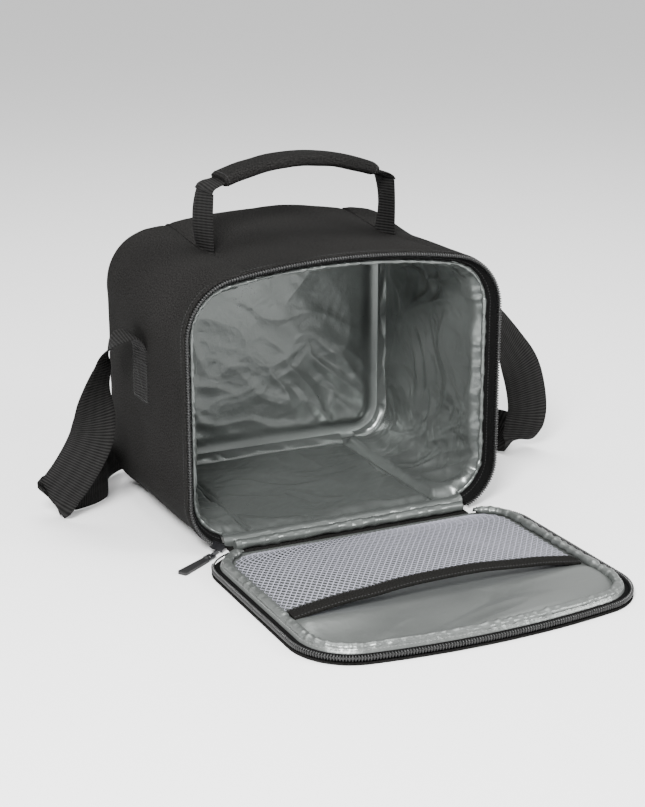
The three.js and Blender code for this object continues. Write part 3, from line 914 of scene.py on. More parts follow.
@dataclass(frozen=True)
class Outline:
    """The bag seen from the front: flat base, rounded corners and an arched top."""

    width: float = 0.292
    height: float = 0.240
    front: float = -0.104
    back: float = 0.104
    arch: float = 0.620
    top_round: float = 0.050
    base_round: float = 0.044
    back_round: float = 0.026
    seam: float = 0.088
    fold: float = 0.117
    hinge: float = -0.115

    @property
    def half(self) -> float:
        """Half the width."""
        return self.width / 2

    def corner(self) -> tuple[float, float, float]:
        """The top corner's centre and the angle where the arch starts."""
        x = self.half - self.top_round
        reach = self.arch - self.top_round
        rise = math.sqrt(reach**2 - x**2)
        return x, self.height - self.arch + rise, math.atan2(rise, x)

    def on_arch(self, angle: Array) -> Array:
        """Points on the arched top at angles from its centre."""
        return np.stack(
            [self.arch * np.cos(angle), self.height - self.arch + self.arch * np.sin(angle)], -1
        )

    def around(self, start: float, count: int) -> tuple[Array, Array]:
        """Points and outward normals from an angle in the lower right corner round to its mirror.

        Args:
            start: the angle in the lower right corner where the line starts.
            count: how many points.

        Returns:
            Points and normals, both as X and Z pairs, evenly spaced.
        """
        cx, cz, lean = self.corner()
        low = np.linspace(start, 0, 80)
        high = np.linspace(0, lean, 80)
        top = np.linspace(lean, math.pi - lean, 160)[1:-1]
        bx, bz = self.half - self.base_round, self.base_round
        right_n = np.concatenate([low, high])
        right_p = np.concatenate(
            [
                np.stack([bx + self.base_round * np.cos(low), bz + self.base_round * np.sin(low)], -1),
                np.stack([cx + self.top_round * np.cos(high), cz + self.top_round * np.sin(high)], -1),
            ]
        )
        top_p = self.on_arch(top)
        right = np.concatenate([right_p, np.stack([np.cos(right_n), np.sin(right_n)], -1)], -1)
        middle = np.concatenate([top_p, np.stack([np.cos(top), np.sin(top)], -1)], -1)
        left = right[::-1] * np.array([-1, 1, -1, 1])
        return self.even(np.concatenate([right, middle, left]), count)

    @staticmethod
    def even(line: Array, count: int) -> tuple[Array, Array]:
        """Respaces a line of points and normals evenly."""
        run = distances(line[:, :2])
        line = read_at(np.linspace(0, run[-1], count), run, line)
        return line[:, :2], unit(line[:, 2:])

    def loop(self, count: int) -> tuple[Array, Array]:
        """The zip's line, from one end of the fold over the top to the other."""
        bx = self.half - self.base_round
        return self.around(-math.pi / 2 + math.asin((self.fold - bx) / self.base_round), count)

    def side(self, side: Side, count: int) -> tuple[Array, Array]:
        """One panel's stretch of the outline, a hair short of its neighbours."""
        gap = 0.00015
        if side is Side.BASE:
            x = np.linspace(-self.seam + gap, self.seam - gap, count)
            return np.stack([x, 0 * x], -1), np.stack([0 * x, 0 * x - 1], -1)
        bend = math.acos(self.seam / self.arch)
        if side is Side.TOP:
            a = np.linspace(bend + gap, math.pi - bend - gap, count)
            return self.on_arch(a), np.stack([np.cos(a), np.sin(a)], -1)
        points, normals = self.around(-math.pi / 2, 600)
        keep = (points[:, 0] > 0) & ~((points[:, 0] < self.seam + gap) & (points[:, 1] > 0.1))
        line = np.concatenate([points, normals], -1)[keep]
        line = np.concatenate([[[self.seam + gap, 0, 0, -1]], line])
        points, normals = self.even(line, count)
        if side is Side.LEFT:
            points, normals = points[::-1] * [-1, 1], normals[::-1] * [-1, 1]
        return points, normals

    def wall(self, side: Side, inset: float, start: float, cols: int, rows: int) -> Array:
        """A wall's net: across it along the outline, and back along Y onto the back edge's round.

        Args:
            side: which stretch.
            inset: how far inside the outer face.
            start: the front edge's Y.
            cols: points along the outline.
            rows: points along the depth.

        Returns:
            Points by row and column.
        """
        points, normals = self.side(side, cols)
        radius = self.back_round - inset
        flat = self.back - self.back_round - start
        end = math.radians(WALL_ENDS)
        run = np.linspace(0, flat + radius * end, rows)
        angle = np.clip((run - flat) / radius, 0, end)
        deep = inset + radius * (1 - np.cos(angle))
        y = start + np.minimum(run, flat) + radius * np.sin(angle)
        return self.lay(points, normals, deep, y)

    @staticmethod
    def lay(points: Array, normals: Array, deep: Array, y: Array) -> Array:
        """A net from an outline, with one inset and one depth for each row."""
        return at_depth(points[None] - normals[None] * deep[:, None, None], y[:, None])

    def rear(self, inset: float, cols: int, rows: int) -> Array:
        """The back panel's net: rings round its edge, then rings closing to its middle."""
        points, normals = self.around(-math.pi / 2, cols)
        floor = np.linspace(points[-1, 0], points[0, 0], cols // 3)[1:-1]
        points = np.concatenate([points, np.stack([floor, 0 * floor], -1)])
        normals = np.concatenate([normals, np.stack([0 * floor, 0 * floor - 1], -1)])
        radius = self.back_round - inset
        turns = np.radians(np.linspace(REAR_STARTS, 90, 9))
        y = self.back - self.back_round + radius * np.sin(turns)
        net = self.lay(points, normals, inset + radius * (1 - np.cos(turns)), y)
        middle = np.array([0, self.back - inset, self.height / 2])
        share = np.linspace(0, 1, rows + 1)[1:] * ALMOST
        cap = net[-1][None] * (1 - share[:, None, None]) + middle * share[:, None, None]
        return np.concatenate([net, cap])


BAG = Outline()
THICK = 0.0012  # the outer cloth
LINER_IN = 0.0076  # from the outer face in to the lining


@dataclass
class Part:
    """Names a finished object for the frame: what it rides on and stands for."""

    obj: bpy.types.Object
    slot: Slot
    body: str
    nodes: tuple[str, ...] = ()

    def fit(self) -> bpy.types.Object:
        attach(self.obj, self.body)
        if self.nodes:
            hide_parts(*self.nodes)
        log.info("%s: %d faces, on %s", self.obj.name, len(self.obj.data.polygons), self.body)
        return self.obj


# ---------------------------------------------------------------- studio
@dataclass
class Studio:
    """Camera, floor and lights."""

    eye: tuple[float, float, float] = (-0.61157, -1.32217, 0.5301)
    azimuth: float = -25.7
    elevation: float = 17.0
    lens: float = 75.8

    def camera(self) -> None:
        """Makes the camera."""
        a, e = math.radians(self.azimuth), math.radians(self.elevation)
        back = Vector((math.sin(a) * math.cos(e), -math.cos(a) * math.cos(e), math.sin(e)))
        data = bpy.data.cameras.new("camera")
        data.lens = self.lens
        cam = bpy.data.objects.new("camera", data)
        bpy.context.scene.collection.objects.link(cam)
        cam.location = self.eye
        cam.rotation_mode = "QUATERNION"
        cam.rotation_quaternion = (-back).to_track_quat("-Z", "Y")
        bpy.context.scene.camera = cam

    def lamp(self, name: str, place: Vector, size: float, power: float, aim: Vector) -> None:
        """Hangs one soft square light."""
        data = bpy.data.lights.new(name, "AREA")
        data.shape, data.size, data.energy = "SQUARE", size, power
        lamp = bpy.data.objects.new(name, data)
        lamp.location = place
        lamp.rotation_mode = "QUATERNION"
        lamp.rotation_quaternion = (aim - place).to_track_quat("-Z", "Y")
        bpy.context.scene.collection.objects.link(lamp)

    def floor(self) -> None:
        """Lays the floor and lights the room."""
        mesh = bpy.data.meshes.new("studio_floor")
        s = 12.0
        mesh.from_pydata([(-s, -s, 0), (s, -s, 0), (s, s, 0), (-s, s, 0)], [], [(0, 1, 2, 3)])
        mesh.materials.append(dressed(KIT.floor))
        link(mesh, "studio_floor")
        world = bpy.data.worlds.new("studio")
        world.use_nodes = True
        world.node_tree.nodes["Background"].inputs[0].default_value = (1, 1, 1, 1)
        world.node_tree.nodes["Background"].inputs[1].default_value = 0.95
        bpy.context.scene.world = world
        aim = Vector((0, -0.05, 0.1))
        self.lamp("key", Vector((-0.9, -1.3, 1.2)), 0.5, 85, aim)
        self.lamp("side", Vector((1.3, -1.2, 0.8)), 0.5, 22, aim)
        self.lamp("over", Vector((0.1, 0.3, 2.0)), 1.4, 36, aim)


# ---------------------------------------------------------------- outer fabric and liner
@dataclass
class Shell:
    """The outer fabric: four walls and the back, taut with a little give.

    Attributes:
        start: how far behind the bag's front the walls begin.
        give: how far each wall crowns at its middle.
        crest: how much higher the roof's cloth stands at its back.
        clear: the lowest the cloth may come.
        ripple: broad ripples.
        fine: small ones.
        piping: the radius of the piping.
    """

    start: float = 0.0045
    give: float = 0.0022
    crest: float = 0.0088
    clear: float = 0.0002
    ripple: Wrinkle = Wrinkle(0.05, 0.09, 0.0011, 2.0)
    fine: Wrinkle = Wrinkle(0.014, 0.03, 0.00022, 5.0)
    piping: float = 0.0008

    def relief(self, net: Grid, edge: tuple[bool, bool]) -> Array:
        """How far the cloth stands off its pattern: crowned, rippled, and pinched at its seams.

        Args:
            net: the panel.
            edge: whether its two long seams pinch it, at low and high U.

        Returns:
            Heights, in metres.
        """
        u, v = net.u, net.v
        across = np.clip(u / u.max(), 0, 1)
        crown = np.sin(math.pi * across) * np.sin(math.pi * np.clip(v / v.max(), 0, 1)) ** 0.7
        pinch = np.zeros_like(u)
        if edge[0]:
            pinch += np.exp(-((u / 0.0045) ** 2))
        if edge[1]:
            pinch += np.exp(-(((u.max() - u) / 0.0045) ** 2))
        calm = smooth((v.max() - v) / 0.01) * smooth(v / 0.02 + 0.1)
        wave = (self.ripple.lift(u, v) * 1.7 + self.fine.lift(u, v)) * calm
        return self.give * crown + wave - 0.0011 * pinch

    def rise(self, points: Array) -> Array:
        """Moves the cloth up towards the top of the back, where it stands fuller than the foam."""
        y, z = points[..., 1], points[..., 2]
        out = points.copy()
        out[..., 2] += self.crest * smooth((z - 0.12) / 0.11) * smooth((y + 0.005) / 0.11)
        return out

    def build(self) -> None:
        """Makes every outer panel."""
        start = BAG.front + self.start
        for side, cols in ((Side.TOP, 110), (Side.LEFT, 190), (Side.RIGHT, 190), (Side.BASE, 100)):
            outer = Grid(BAG.wall(side, 0.0, start, cols, 110))
            inner = BAG.wall(side, THICK, start, cols, 110)
            lift = self.relief(outer, (True, True))
            if side is Side.BASE:
                lift = np.minimum(lift, 0.0) * 0.2
            face = outer.moved(outer.away_from(inner) * lift)
            face.points[..., 2] = np.maximum(face.points[..., 2], self.clear)
            backing = inner + (face.points - outer.points)
            face.points = self.rise(face.points)
            obj = slab(f"{side.value}_panel", face, self.rise(backing), KIT.shell)
            Part(obj, Slot.SHELL, "shell", (f"outer_{side.value}",)).fit()
        outer = Grid(BAG.rear(0.0, 320, 40), True)
        inner = BAG.rear(THICK, 320, 40)
        x, z = outer.points[..., 0], outer.points[..., 2]
        crown = (1 - (x / BAG.half) ** 2).clip(0) * (1 - ((z - 0.12) / 0.12) ** 2).clip(0)
        lift = 0.0035 * crown + self.ripple.lift(x, z) * 1.3 * smooth((crown - 0.05) / 0.2)
        face = outer.moved(outer.away_from(inner) * lift)
        backing = inner + face.points - outer.points
        face.points = self.rise(face.points)
        obj = slab("back_panel", face, self.rise(backing), KIT.shell)
        plan_uv(obj, 0, 2)
        Part(obj, Slot.SHELL, "shell", ("outer_back",)).fit()
        self.seams()

    def seams(self) -> None:
        """Runs piping down each seam between the roof, the floor and the side panels."""
        for level, side, deep in (("top", Side.TOP, 0.0010), ("base", Side.BASE, 0.0014)):
            net = BAG.wall(side, deep, BAG.front + 0.006, 2, 120)
            for path in (net[:, 0], net[:, 1]):
                name = "left" if path[0, 0] < 0 else "right"
                obj = cordon(f"seam_{level}_{name}", self.rise(path), self.piping, KIT.shell)
                Part(obj, Slot.SHELL, "shell").fit()


def cordon(
    name: str, path: Array, radius: float, finish: Finish, sides: int = 8
) -> bpy.types.Object:
    """A round cord of one radius along a path."""
    tangent = unit(np.gradient(path, axis=0))
    spread = np.abs(tangent).mean(axis=0)
    ref = np.zeros(3)
    ref[int(np.argmin(spread))] = 1.0
    a = unit(np.cross(tangent, ref))
    b = np.cross(tangent, a)
    turn = np.linspace(0, 2 * math.pi, sides, endpoint=False)
    ring = a[:, None] * np.cos(turn)[None, :, None] + b[:, None] * np.sin(turn)[None, :, None]
    return tube(name, path[:, None] + ring * radius, finish)


@dataclass
class Liner:
    """The silver lining: loose coated cloth, crumpled over the foam, taped along its seams.

    Attributes:
        cloth: its thickness.
        start: how far behind the bag's front it begins.
        tape_in: the seam tapes' distance inside the outer face.
        hem_in: the hem roll's distance inside the outline.
        hem_y: its depth behind the bag's front.
        hem_radius: its plain radius.
        folds: the folds all over it.
        drag: long shallow folds on the back.
        foot: folds bunched into the back's lower corners.
        slack: deep soft folds down the two sides.
        gather: gathers that run back from the hem.
        pucker: finer ones, close to the hem.
    """

    cloth: float = 0.0008
    start: float = 0.0125
    tape_in: float = 0.0083
    hem_in: float = 0.0098
    hem_y: float = 0.0122
    hem_radius: float = 0.0019
    folds: tuple[Wrinkle, ...] = (
        Wrinkle(0.055, 0.11, 0.0062, 1.0, Crest.CREASE, 0.3, 0.8),
        Wrinkle(0.028, 0.055, 0.0040, 4.0, Crest.CREASE, 1.2, 1.0),
        Wrinkle(0.013, 0.03, 0.0011, 7.0, Crest.CREASE, 2.1, 0.8),
    )
    drag: Wrinkle = Wrinkle(0.05, 0.14, 0.0009, 9.0, Crest.RIDGE, 1.9, 1.4)
    foot: Wrinkle = Wrinkle(0.022, 0.07, 0.0058, 9.0, Crest.CREASE, 0.85, 0.6)
    slack: Wrinkle = Wrinkle(0.036, 0.09, 0.0062, 40.0, Crest.RIDGE, 0.8, 1.2)
    gather: Wrinkle = Wrinkle(0.013, 0.05, 0.0034, 12.0, Crest.CREASE, 0.25)
    pucker: Wrinkle = Wrinkle(0.006, 0.03, 0.0009, 14.0)

    def crumple(self, u: Array, v: Array) -> Array:
        """The summed height of every family of folds."""
        return sum(f.lift(u, v) for f in self.folds)

    def hem_gather(self, u: Array, v: Array) -> Array:
        """Short gathers that run back from the sewn front edge."""
        return self.gather.lift(u, v) * np.exp(-v / 0.022) + self.pucker.lift(u, v) * np.exp(-v / 0.008)

    @staticmethod
    def inner_face(net: Grid, backing: Array, lift: Array) -> Grid:
        """The net pushed away from its backing: never through it, and never much over 1 cm."""
        lowest, tallest = -0.0003, 0.011
        return net.moved(net.away_from(backing) * tallest * np.tanh(np.maximum(lift, lowest) / tallest))

    def build(self) -> None:
        """Makes the five lining panels, their tapes and the hem."""
        start = BAG.front + self.start
        for side, cols, amount in (
            (Side.TOP, 130, 0.8),
            (Side.LEFT, 240, 1.2),
            (Side.RIGHT, 240, 1.2),
            (Side.BASE, 130, 0.5),
        ):
            inner = Grid(BAG.wall(side, LINER_IN, start, cols, 140))
            outer = BAG.wall(side, LINER_IN - self.cloth, start, cols, 140)
            edge = smooth((inner.v.max() - inner.v) / 0.016)
            seam = smooth(inner.u / 0.007) * smooth((inner.u.max() - inner.u) / 0.007)
            free = edge * seam * smooth(inner.v / 0.012)
            upright = side in (Side.LEFT, Side.RIGHT)
            loose = self.slack.lift(inner.u, inner.v) if upright else 0.0
            lift = (self.crumple(inner.u, inner.v) * amount + loose) * free
            lift += self.hem_gather(inner.u, inner.v) * (0.4 if side is Side.BASE else 1.0)
            obj = slab(f"liner_{side.value}_cloth", self.inner_face(inner, outer, lift), outer, KIT.liner)
            Part(obj, Slot.LINER, "shell", (f"liner_{side.value}",)).fit()
        inner = Grid(BAG.rear(LINER_IN, 360, 74), True)
        outer = BAG.rear(LINER_IN - self.cloth, 360, 74)
        x, z = inner.points[..., 0], inner.points[..., 2]
        corner_x, corner_z = 0.10, 0.03
        bunch = np.exp(-((np.hypot(x - corner_x, z - corner_z) / 0.07) ** 2))
        bunch += 0.6 * np.exp(-((np.hypot(x + corner_x, z - corner_z) / 0.06) ** 2))
        lift = self.crumple(x + 0.3, z + 0.2) * (0.09 + 0.8 * bunch) + self.drag.lift(x, z)
        lift += self.foot.lift(x, z) * bunch
        ring = np.arange(inner.points.shape[0])[:, None]
        lift = lift * smooth((ring - 6) / 8)
        obj = slab("liner_back_cloth", self.inner_face(inner, outer, lift), outer, KIT.liner)
        Part(obj, Slot.LINER, "shell", ("liner_back",)).fit()
        self.tapes()
        self.hem()

    def tapes(self) -> None:
        """Binds the seams round the back and along the floor and roof."""
        points, normals = BAG.around(-math.pi / 2, 420)
        for name, keep in (
            ("back_right", (points[:, 0] > BAG.seam)),
            ("back_left", (points[:, 0] < -BAG.seam)),
            ("back_top", (np.abs(points[:, 0]) < BAG.seam) & (points[:, 1] > 0.1)),
            ("back_base", None),
        ):
            if keep is None:
                p, n = BAG.side(Side.BASE, 120)
            else:
                p, n = points[keep], normals[keep]
            radius = BAG.back_round - self.tape_in
            turns = np.radians(np.linspace(24, 60, 9))
            arch = np.sin(np.linspace(0, math.pi, 9))[:, None]
            deep = self.tape_in + radius * (1 - np.cos(turns))
            y = BAG.back - BAG.back_round + radius * np.sin(turns)
            net = Grid(Outline.lay(p, n, deep, y))
            base = Outline.lay(p, n, deep - self.cloth / 2, y)
            inward = net.away_from(base)
            pucker = Wrinkle(0.016, 0.02, 0.0018, 15.0, Crest.CREASE, 0.5).lift(net.u, net.v)
            face = net.moved(inward * (0.0011 * arch**0.5 + pucker * arch))
            obj = slab(f"tape_{name}", face, base, KIT.liner)
            Part(obj, Slot.LINER, "shell", (f"liner_tape_{name}",)).fit()
            seam = face.points[1] * 0.9 + face.points[2] * 0.1
            up = face.normals()[1] * inward
            thread = stitches(f"tape_{name}_stitches", seam, up, KIT.pale_thread, 0.0028)
            Part(thread, Slot.LINER, "shell").fit()
        for name, sign in (("left", -1), ("right", 1)):
            for level in ("base", "top"):
                p, n = BAG.side(Side.BASE if level == "base" else Side.TOP, 300)
                middle = int(np.argmin(np.abs(p[:, 0] - sign * (BAG.seam - 0.001))))
                span = slice(max(0, middle - 9), min(300, middle + 9))
                p, n = p[span], n[span]
                y = np.linspace(BAG.front + 0.014, BAG.back - BAG.back_round, 90)
                net = Grid(Outline.lay(p, n, np.full_like(y, self.tape_in), y))
                base = Outline.lay(p, n, np.full_like(y, self.tape_in - self.cloth / 2), y)
                arch = np.sin(np.linspace(0, math.pi, net.points.shape[1]))[None]
                pucker = Wrinkle(0.02, 0.02, 0.0009, 17.0 + sign, Crest.CREASE).lift(net.v, net.u)
                face = net.moved(net.away_from(base) * ((0.0010 + pucker) * arch + 0.0006))
                obj = slab(f"tape_{level}_{name}", face, base, KIT.liner)
                Part(obj, Slot.LINER, "shell", (f"liner_tape_{level}_{name}",)).fit()

    def hem(self) -> None:
        """Gathers the lining's front edge into a soft roll behind the zip tape."""
        points, normals = BAG.loop(620)
        run = np.linspace(0, 0.95, 620)
        turn = np.linspace(0, 2 * math.pi, 14, endpoint=False)
        swell = 0.9 + 0.6 * line_noise(run, 0.007, 2.0) + 0.6 * line_noise(run, 0.022, 5.0)
        radius = self.hem_radius * np.clip(swell, 0.4, 1.9)[:, None]
        rings = roll(points, normals, self.hem_in, BAG.front + self.hem_y, radius, turn)
        Part(tube("liner_hem_roll", rings, KIT.liner), Slot.LINER, "shell", ("liner_hem",)).fit()


def roll(
    points: Array,
    normals: Array,
    inset: float,
    y: float,
    radius: Array,
    turn: Array,
    wide: float = 1.0,
) -> Array:
    """Rings of a roll that follows the outline.

    Args:
        points: the outline.
        normals: its outward normals.
        inset: how far inside it the roll's middle runs.
        y: the middle's depth.
        radius: the roll's radius, one a ring or one for each point of each ring.
        turn: the angles round a ring.
        wide: how much wider than deep the roll is.

    Returns:
        Points by ring and round each ring.
    """
    deep = inset + radius * wide * np.cos(turn)[None]
    flat = points[:, None] - normals[:, None] * deep[..., None]
    return at_depth(flat, y + radius * np.sin(turn)[None])


def laid_down(directions: Array) -> Array:
    """Directions on a shut lid, turned down flat with it."""
    return np.stack([directions[..., 0], -directions[..., 2], directions[..., 1]], -1)


def onto_lid(points: Array) -> Array:
    """Turns points built on a shut lid down flat, as the lid lies.

    Args:
        points: X, the distance in from the lid's outer face, and the height over its fold.

    Returns:
        The points where the lid lies.
    """
    return laid_down(points) + np.array([0.0, BAG.hinge, 0.0])


def world_box(node: str) -> tuple[Vector, Vector]:
    """The corners of a node's bounding box.

    Args:
        node: the node's name.

    Returns:
        The lowest and the highest corner.
    """
    obj = bpy.data.objects[node]
    corners = [obj.matrix_world @ Vector(c) for c in obj.bound_box]
    return tuple(Vector(edge(c[k] for c in corners) for k in range(3)) for edge in (min, max))


# ---------------------------------------------------------------- zip
@dataclass(frozen=True)
class Row:
    """One row of zip teeth.

    Attributes:
        node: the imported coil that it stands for.
        inset: the coil's distance inside the outline.
        y: its depth: from the middle on the body, or from the outer face on the lid.
        lean: the angle of each tooth from the Y direction towards the outline's middle, in degrees.
        tooth: a tooth's length along the zip, its width and its height.
        on_lid: whether the row is on the lid.
    """

    node: str
    inset: float
    y: float
    lean: float
    tooth: tuple[float, float, float]
    on_lid: bool = False


@dataclass
class Zip:
    """The coil zip: a toothed coil on the body and on the lid, each sewn to its tape.

    Attributes:
        pitch: from tooth to tooth.
        end: the bare length at each end of a row.
        beside: the lid row's clearance beside the slider.
        slide: its clearance above the slider, for the slider's travel.
        body_in: the body tape's distances inside the outline, at its front and back edges.
        body_y: its depths behind the bag's front, at the same edges.
        lid_in: the lid tape's distances inside the outline, at its outer and inner edges.
        lid_y: its depths inside the lid's outer face, at the same edges.
        rib: the pitch and the height of the tapes' ribs.
        welt_in: the welt's distance inside the outline.
        welt_y: its depth behind the bag's front.
        welt_radius: its radius.
        seam_y: the depth of the seam behind it.
        rows: the two rows of teeth.
    """

    pitch: float = 0.0023
    end: float = 0.001
    beside: float = 0.002
    slide: float = 0.012
    body_in: tuple[float, float] = (0.0011, 0.0074)
    body_y: tuple[float, float] = (0.0016, 0.0118)
    lid_in: tuple[float, float] = (0.0022, 0.0074)
    lid_y: tuple[float, float] = (0.0027, 0.0057)
    rib: tuple[float, float] = (0.0022, 0.00018)
    welt_in: float = 0.0010
    welt_y: float = 0.0049
    welt_radius: float = 0.0014
    seam_y: float = 0.0095
    rows: tuple[Row, Row] = (
        Row("zip_coil_body", 0.0018, BAG.front, 34.0, (0.0017, 0.0042, 0.0033)),
        Row("zip_coil_lid", 0.0014, 0.0049, 84.0, (0.0017, 0.0034, 0.0050), True),
    )

    def teeth(self, row: Row) -> None:
        """Sets one row of teeth, and the cord inside them.

        The lid's row stops short of the slider's parking place, which it would go through.
        """
        lean = math.radians(row.lean)
        points, normals = BAG.loop(900)
        run = distances(points)
        at = np.arange(self.end, run[-1] - self.end, self.pitch)
        out = unit(read_at(at, run, normals))
        flat = read_at(at, run, points) - out * row.inset
        if row.on_lid:
            corner = world_box("zip_slider")[1]
            clear = (flat[:, 0] > corner.x + self.beside) | (flat[:, 1] > corner.z + self.slide)
            flat, out = flat[clear], out[clear]
        where = at_depth(flat, row.y)
        along = at_depth(np.stack([-out[:, 1], out[:, 0]], -1), 0.0)
        across = at_depth(-out * math.sin(lean), math.cos(lean))
        core = at_depth(points - normals * row.inset, row.y)
        body = "shell"
        if row.on_lid:
            where, core = onto_lid(where), onto_lid(core)
            along, across = laid_down(along), laid_down(across)
            body = "lid"
        obj = pills(f"{row.node}_teeth", where, along, across, row.tooth, KIT.coil, 0.02)
        Part(obj, Slot.ZIP_COIL, body, (row.node,)).fit()
        Part(cordon(f"{row.node}_core", core[::3], 0.0007, KIT.coil), Slot.ZIP_COIL, body).fit()

    def tape(self) -> None:
        """Lays the tapes, with a row of stitching along the body's tape."""
        points, normals = BAG.loop(560)
        t = np.linspace(0, 1, 10)
        deep = np.linspace(*self.body_in, 10)
        y = BAG.front + np.linspace(*self.body_y, 10)
        net = Grid(Outline.lay(points, normals, deep + 0.0009, y))
        back = Outline.lay(points, normals, deep + 0.0001, y + 0.0003)
        inward = net.away_from(back)
        wave = 0.0006 * perlin(np.stack([net.u / 0.02, net.v / 0.02, net.u * 0], -1), 8.0)
        ribs = self.rib[1] * np.sin(net.u * 2 * math.pi / self.rib[0])
        face = net.moved(inward * (wave * t[:, None] + ribs))
        Part(slab("tape_on_body", face, back, KIT.tape), Slot.ZIP_TAPE, "shell", ("zip_tape_body",)).fit()
        up = face.normals()[6] * inward
        thread = stitches("tape_on_body_stitches", face.points[6], up, KIT.thread, 0.0028)
        Part(thread, Slot.ZIP_TAPE, "shell").fit()
        deep = np.linspace(*self.lid_in, 10)
        y = np.linspace(*self.lid_y, 10)
        face = Grid(onto_lid(Outline.lay(points, normals, deep, y + 0.0003)))
        back = onto_lid(Outline.lay(points, normals, deep, y - 0.0006))
        Part(slab("tape_on_lid", face, back, KIT.tape), Slot.ZIP_TAPE, "lid", ("zip_tape_lid",)).fit()

    def welt(self) -> None:
        """Binds the outer cloth's front edge, and sews it behind the coil."""
        points, normals = BAG.loop(620)
        turn = np.linspace(0, 2 * math.pi, 12, endpoint=False)
        radius = np.full((620, 1), self.welt_radius)
        rings = roll(points, normals, self.welt_in, BAG.front + self.welt_y, radius, turn)
        Part(tube("front_welt", rings, KIT.shell), Slot.SHELL, "shell").fit()
        seam = at_depth(points + normals * 0.0001, BAG.front + self.seam_y)
        thread = stitches("front_welt_stitches", seam, at_depth(normals, 0.0), KIT.thread, 0.003)
        Part(thread, Slot.SHELL, "shell").fit()

    def build(self) -> None:
        """Makes the zip."""
        for row in self.rows:
            self.teeth(row)
        self.tape()
        self.welt()
        for node in ("zip_slider", "zip_pull_link"):
            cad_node(node, KIT.metal)
        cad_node("zip_pull_tab", KIT.pull)


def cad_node(node: str, finish: Finish) -> None:
    """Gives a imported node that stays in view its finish."""
    obj = bpy.data.objects[node]
    obj.data.materials.clear()
    obj.data.materials.append(dressed(finish))


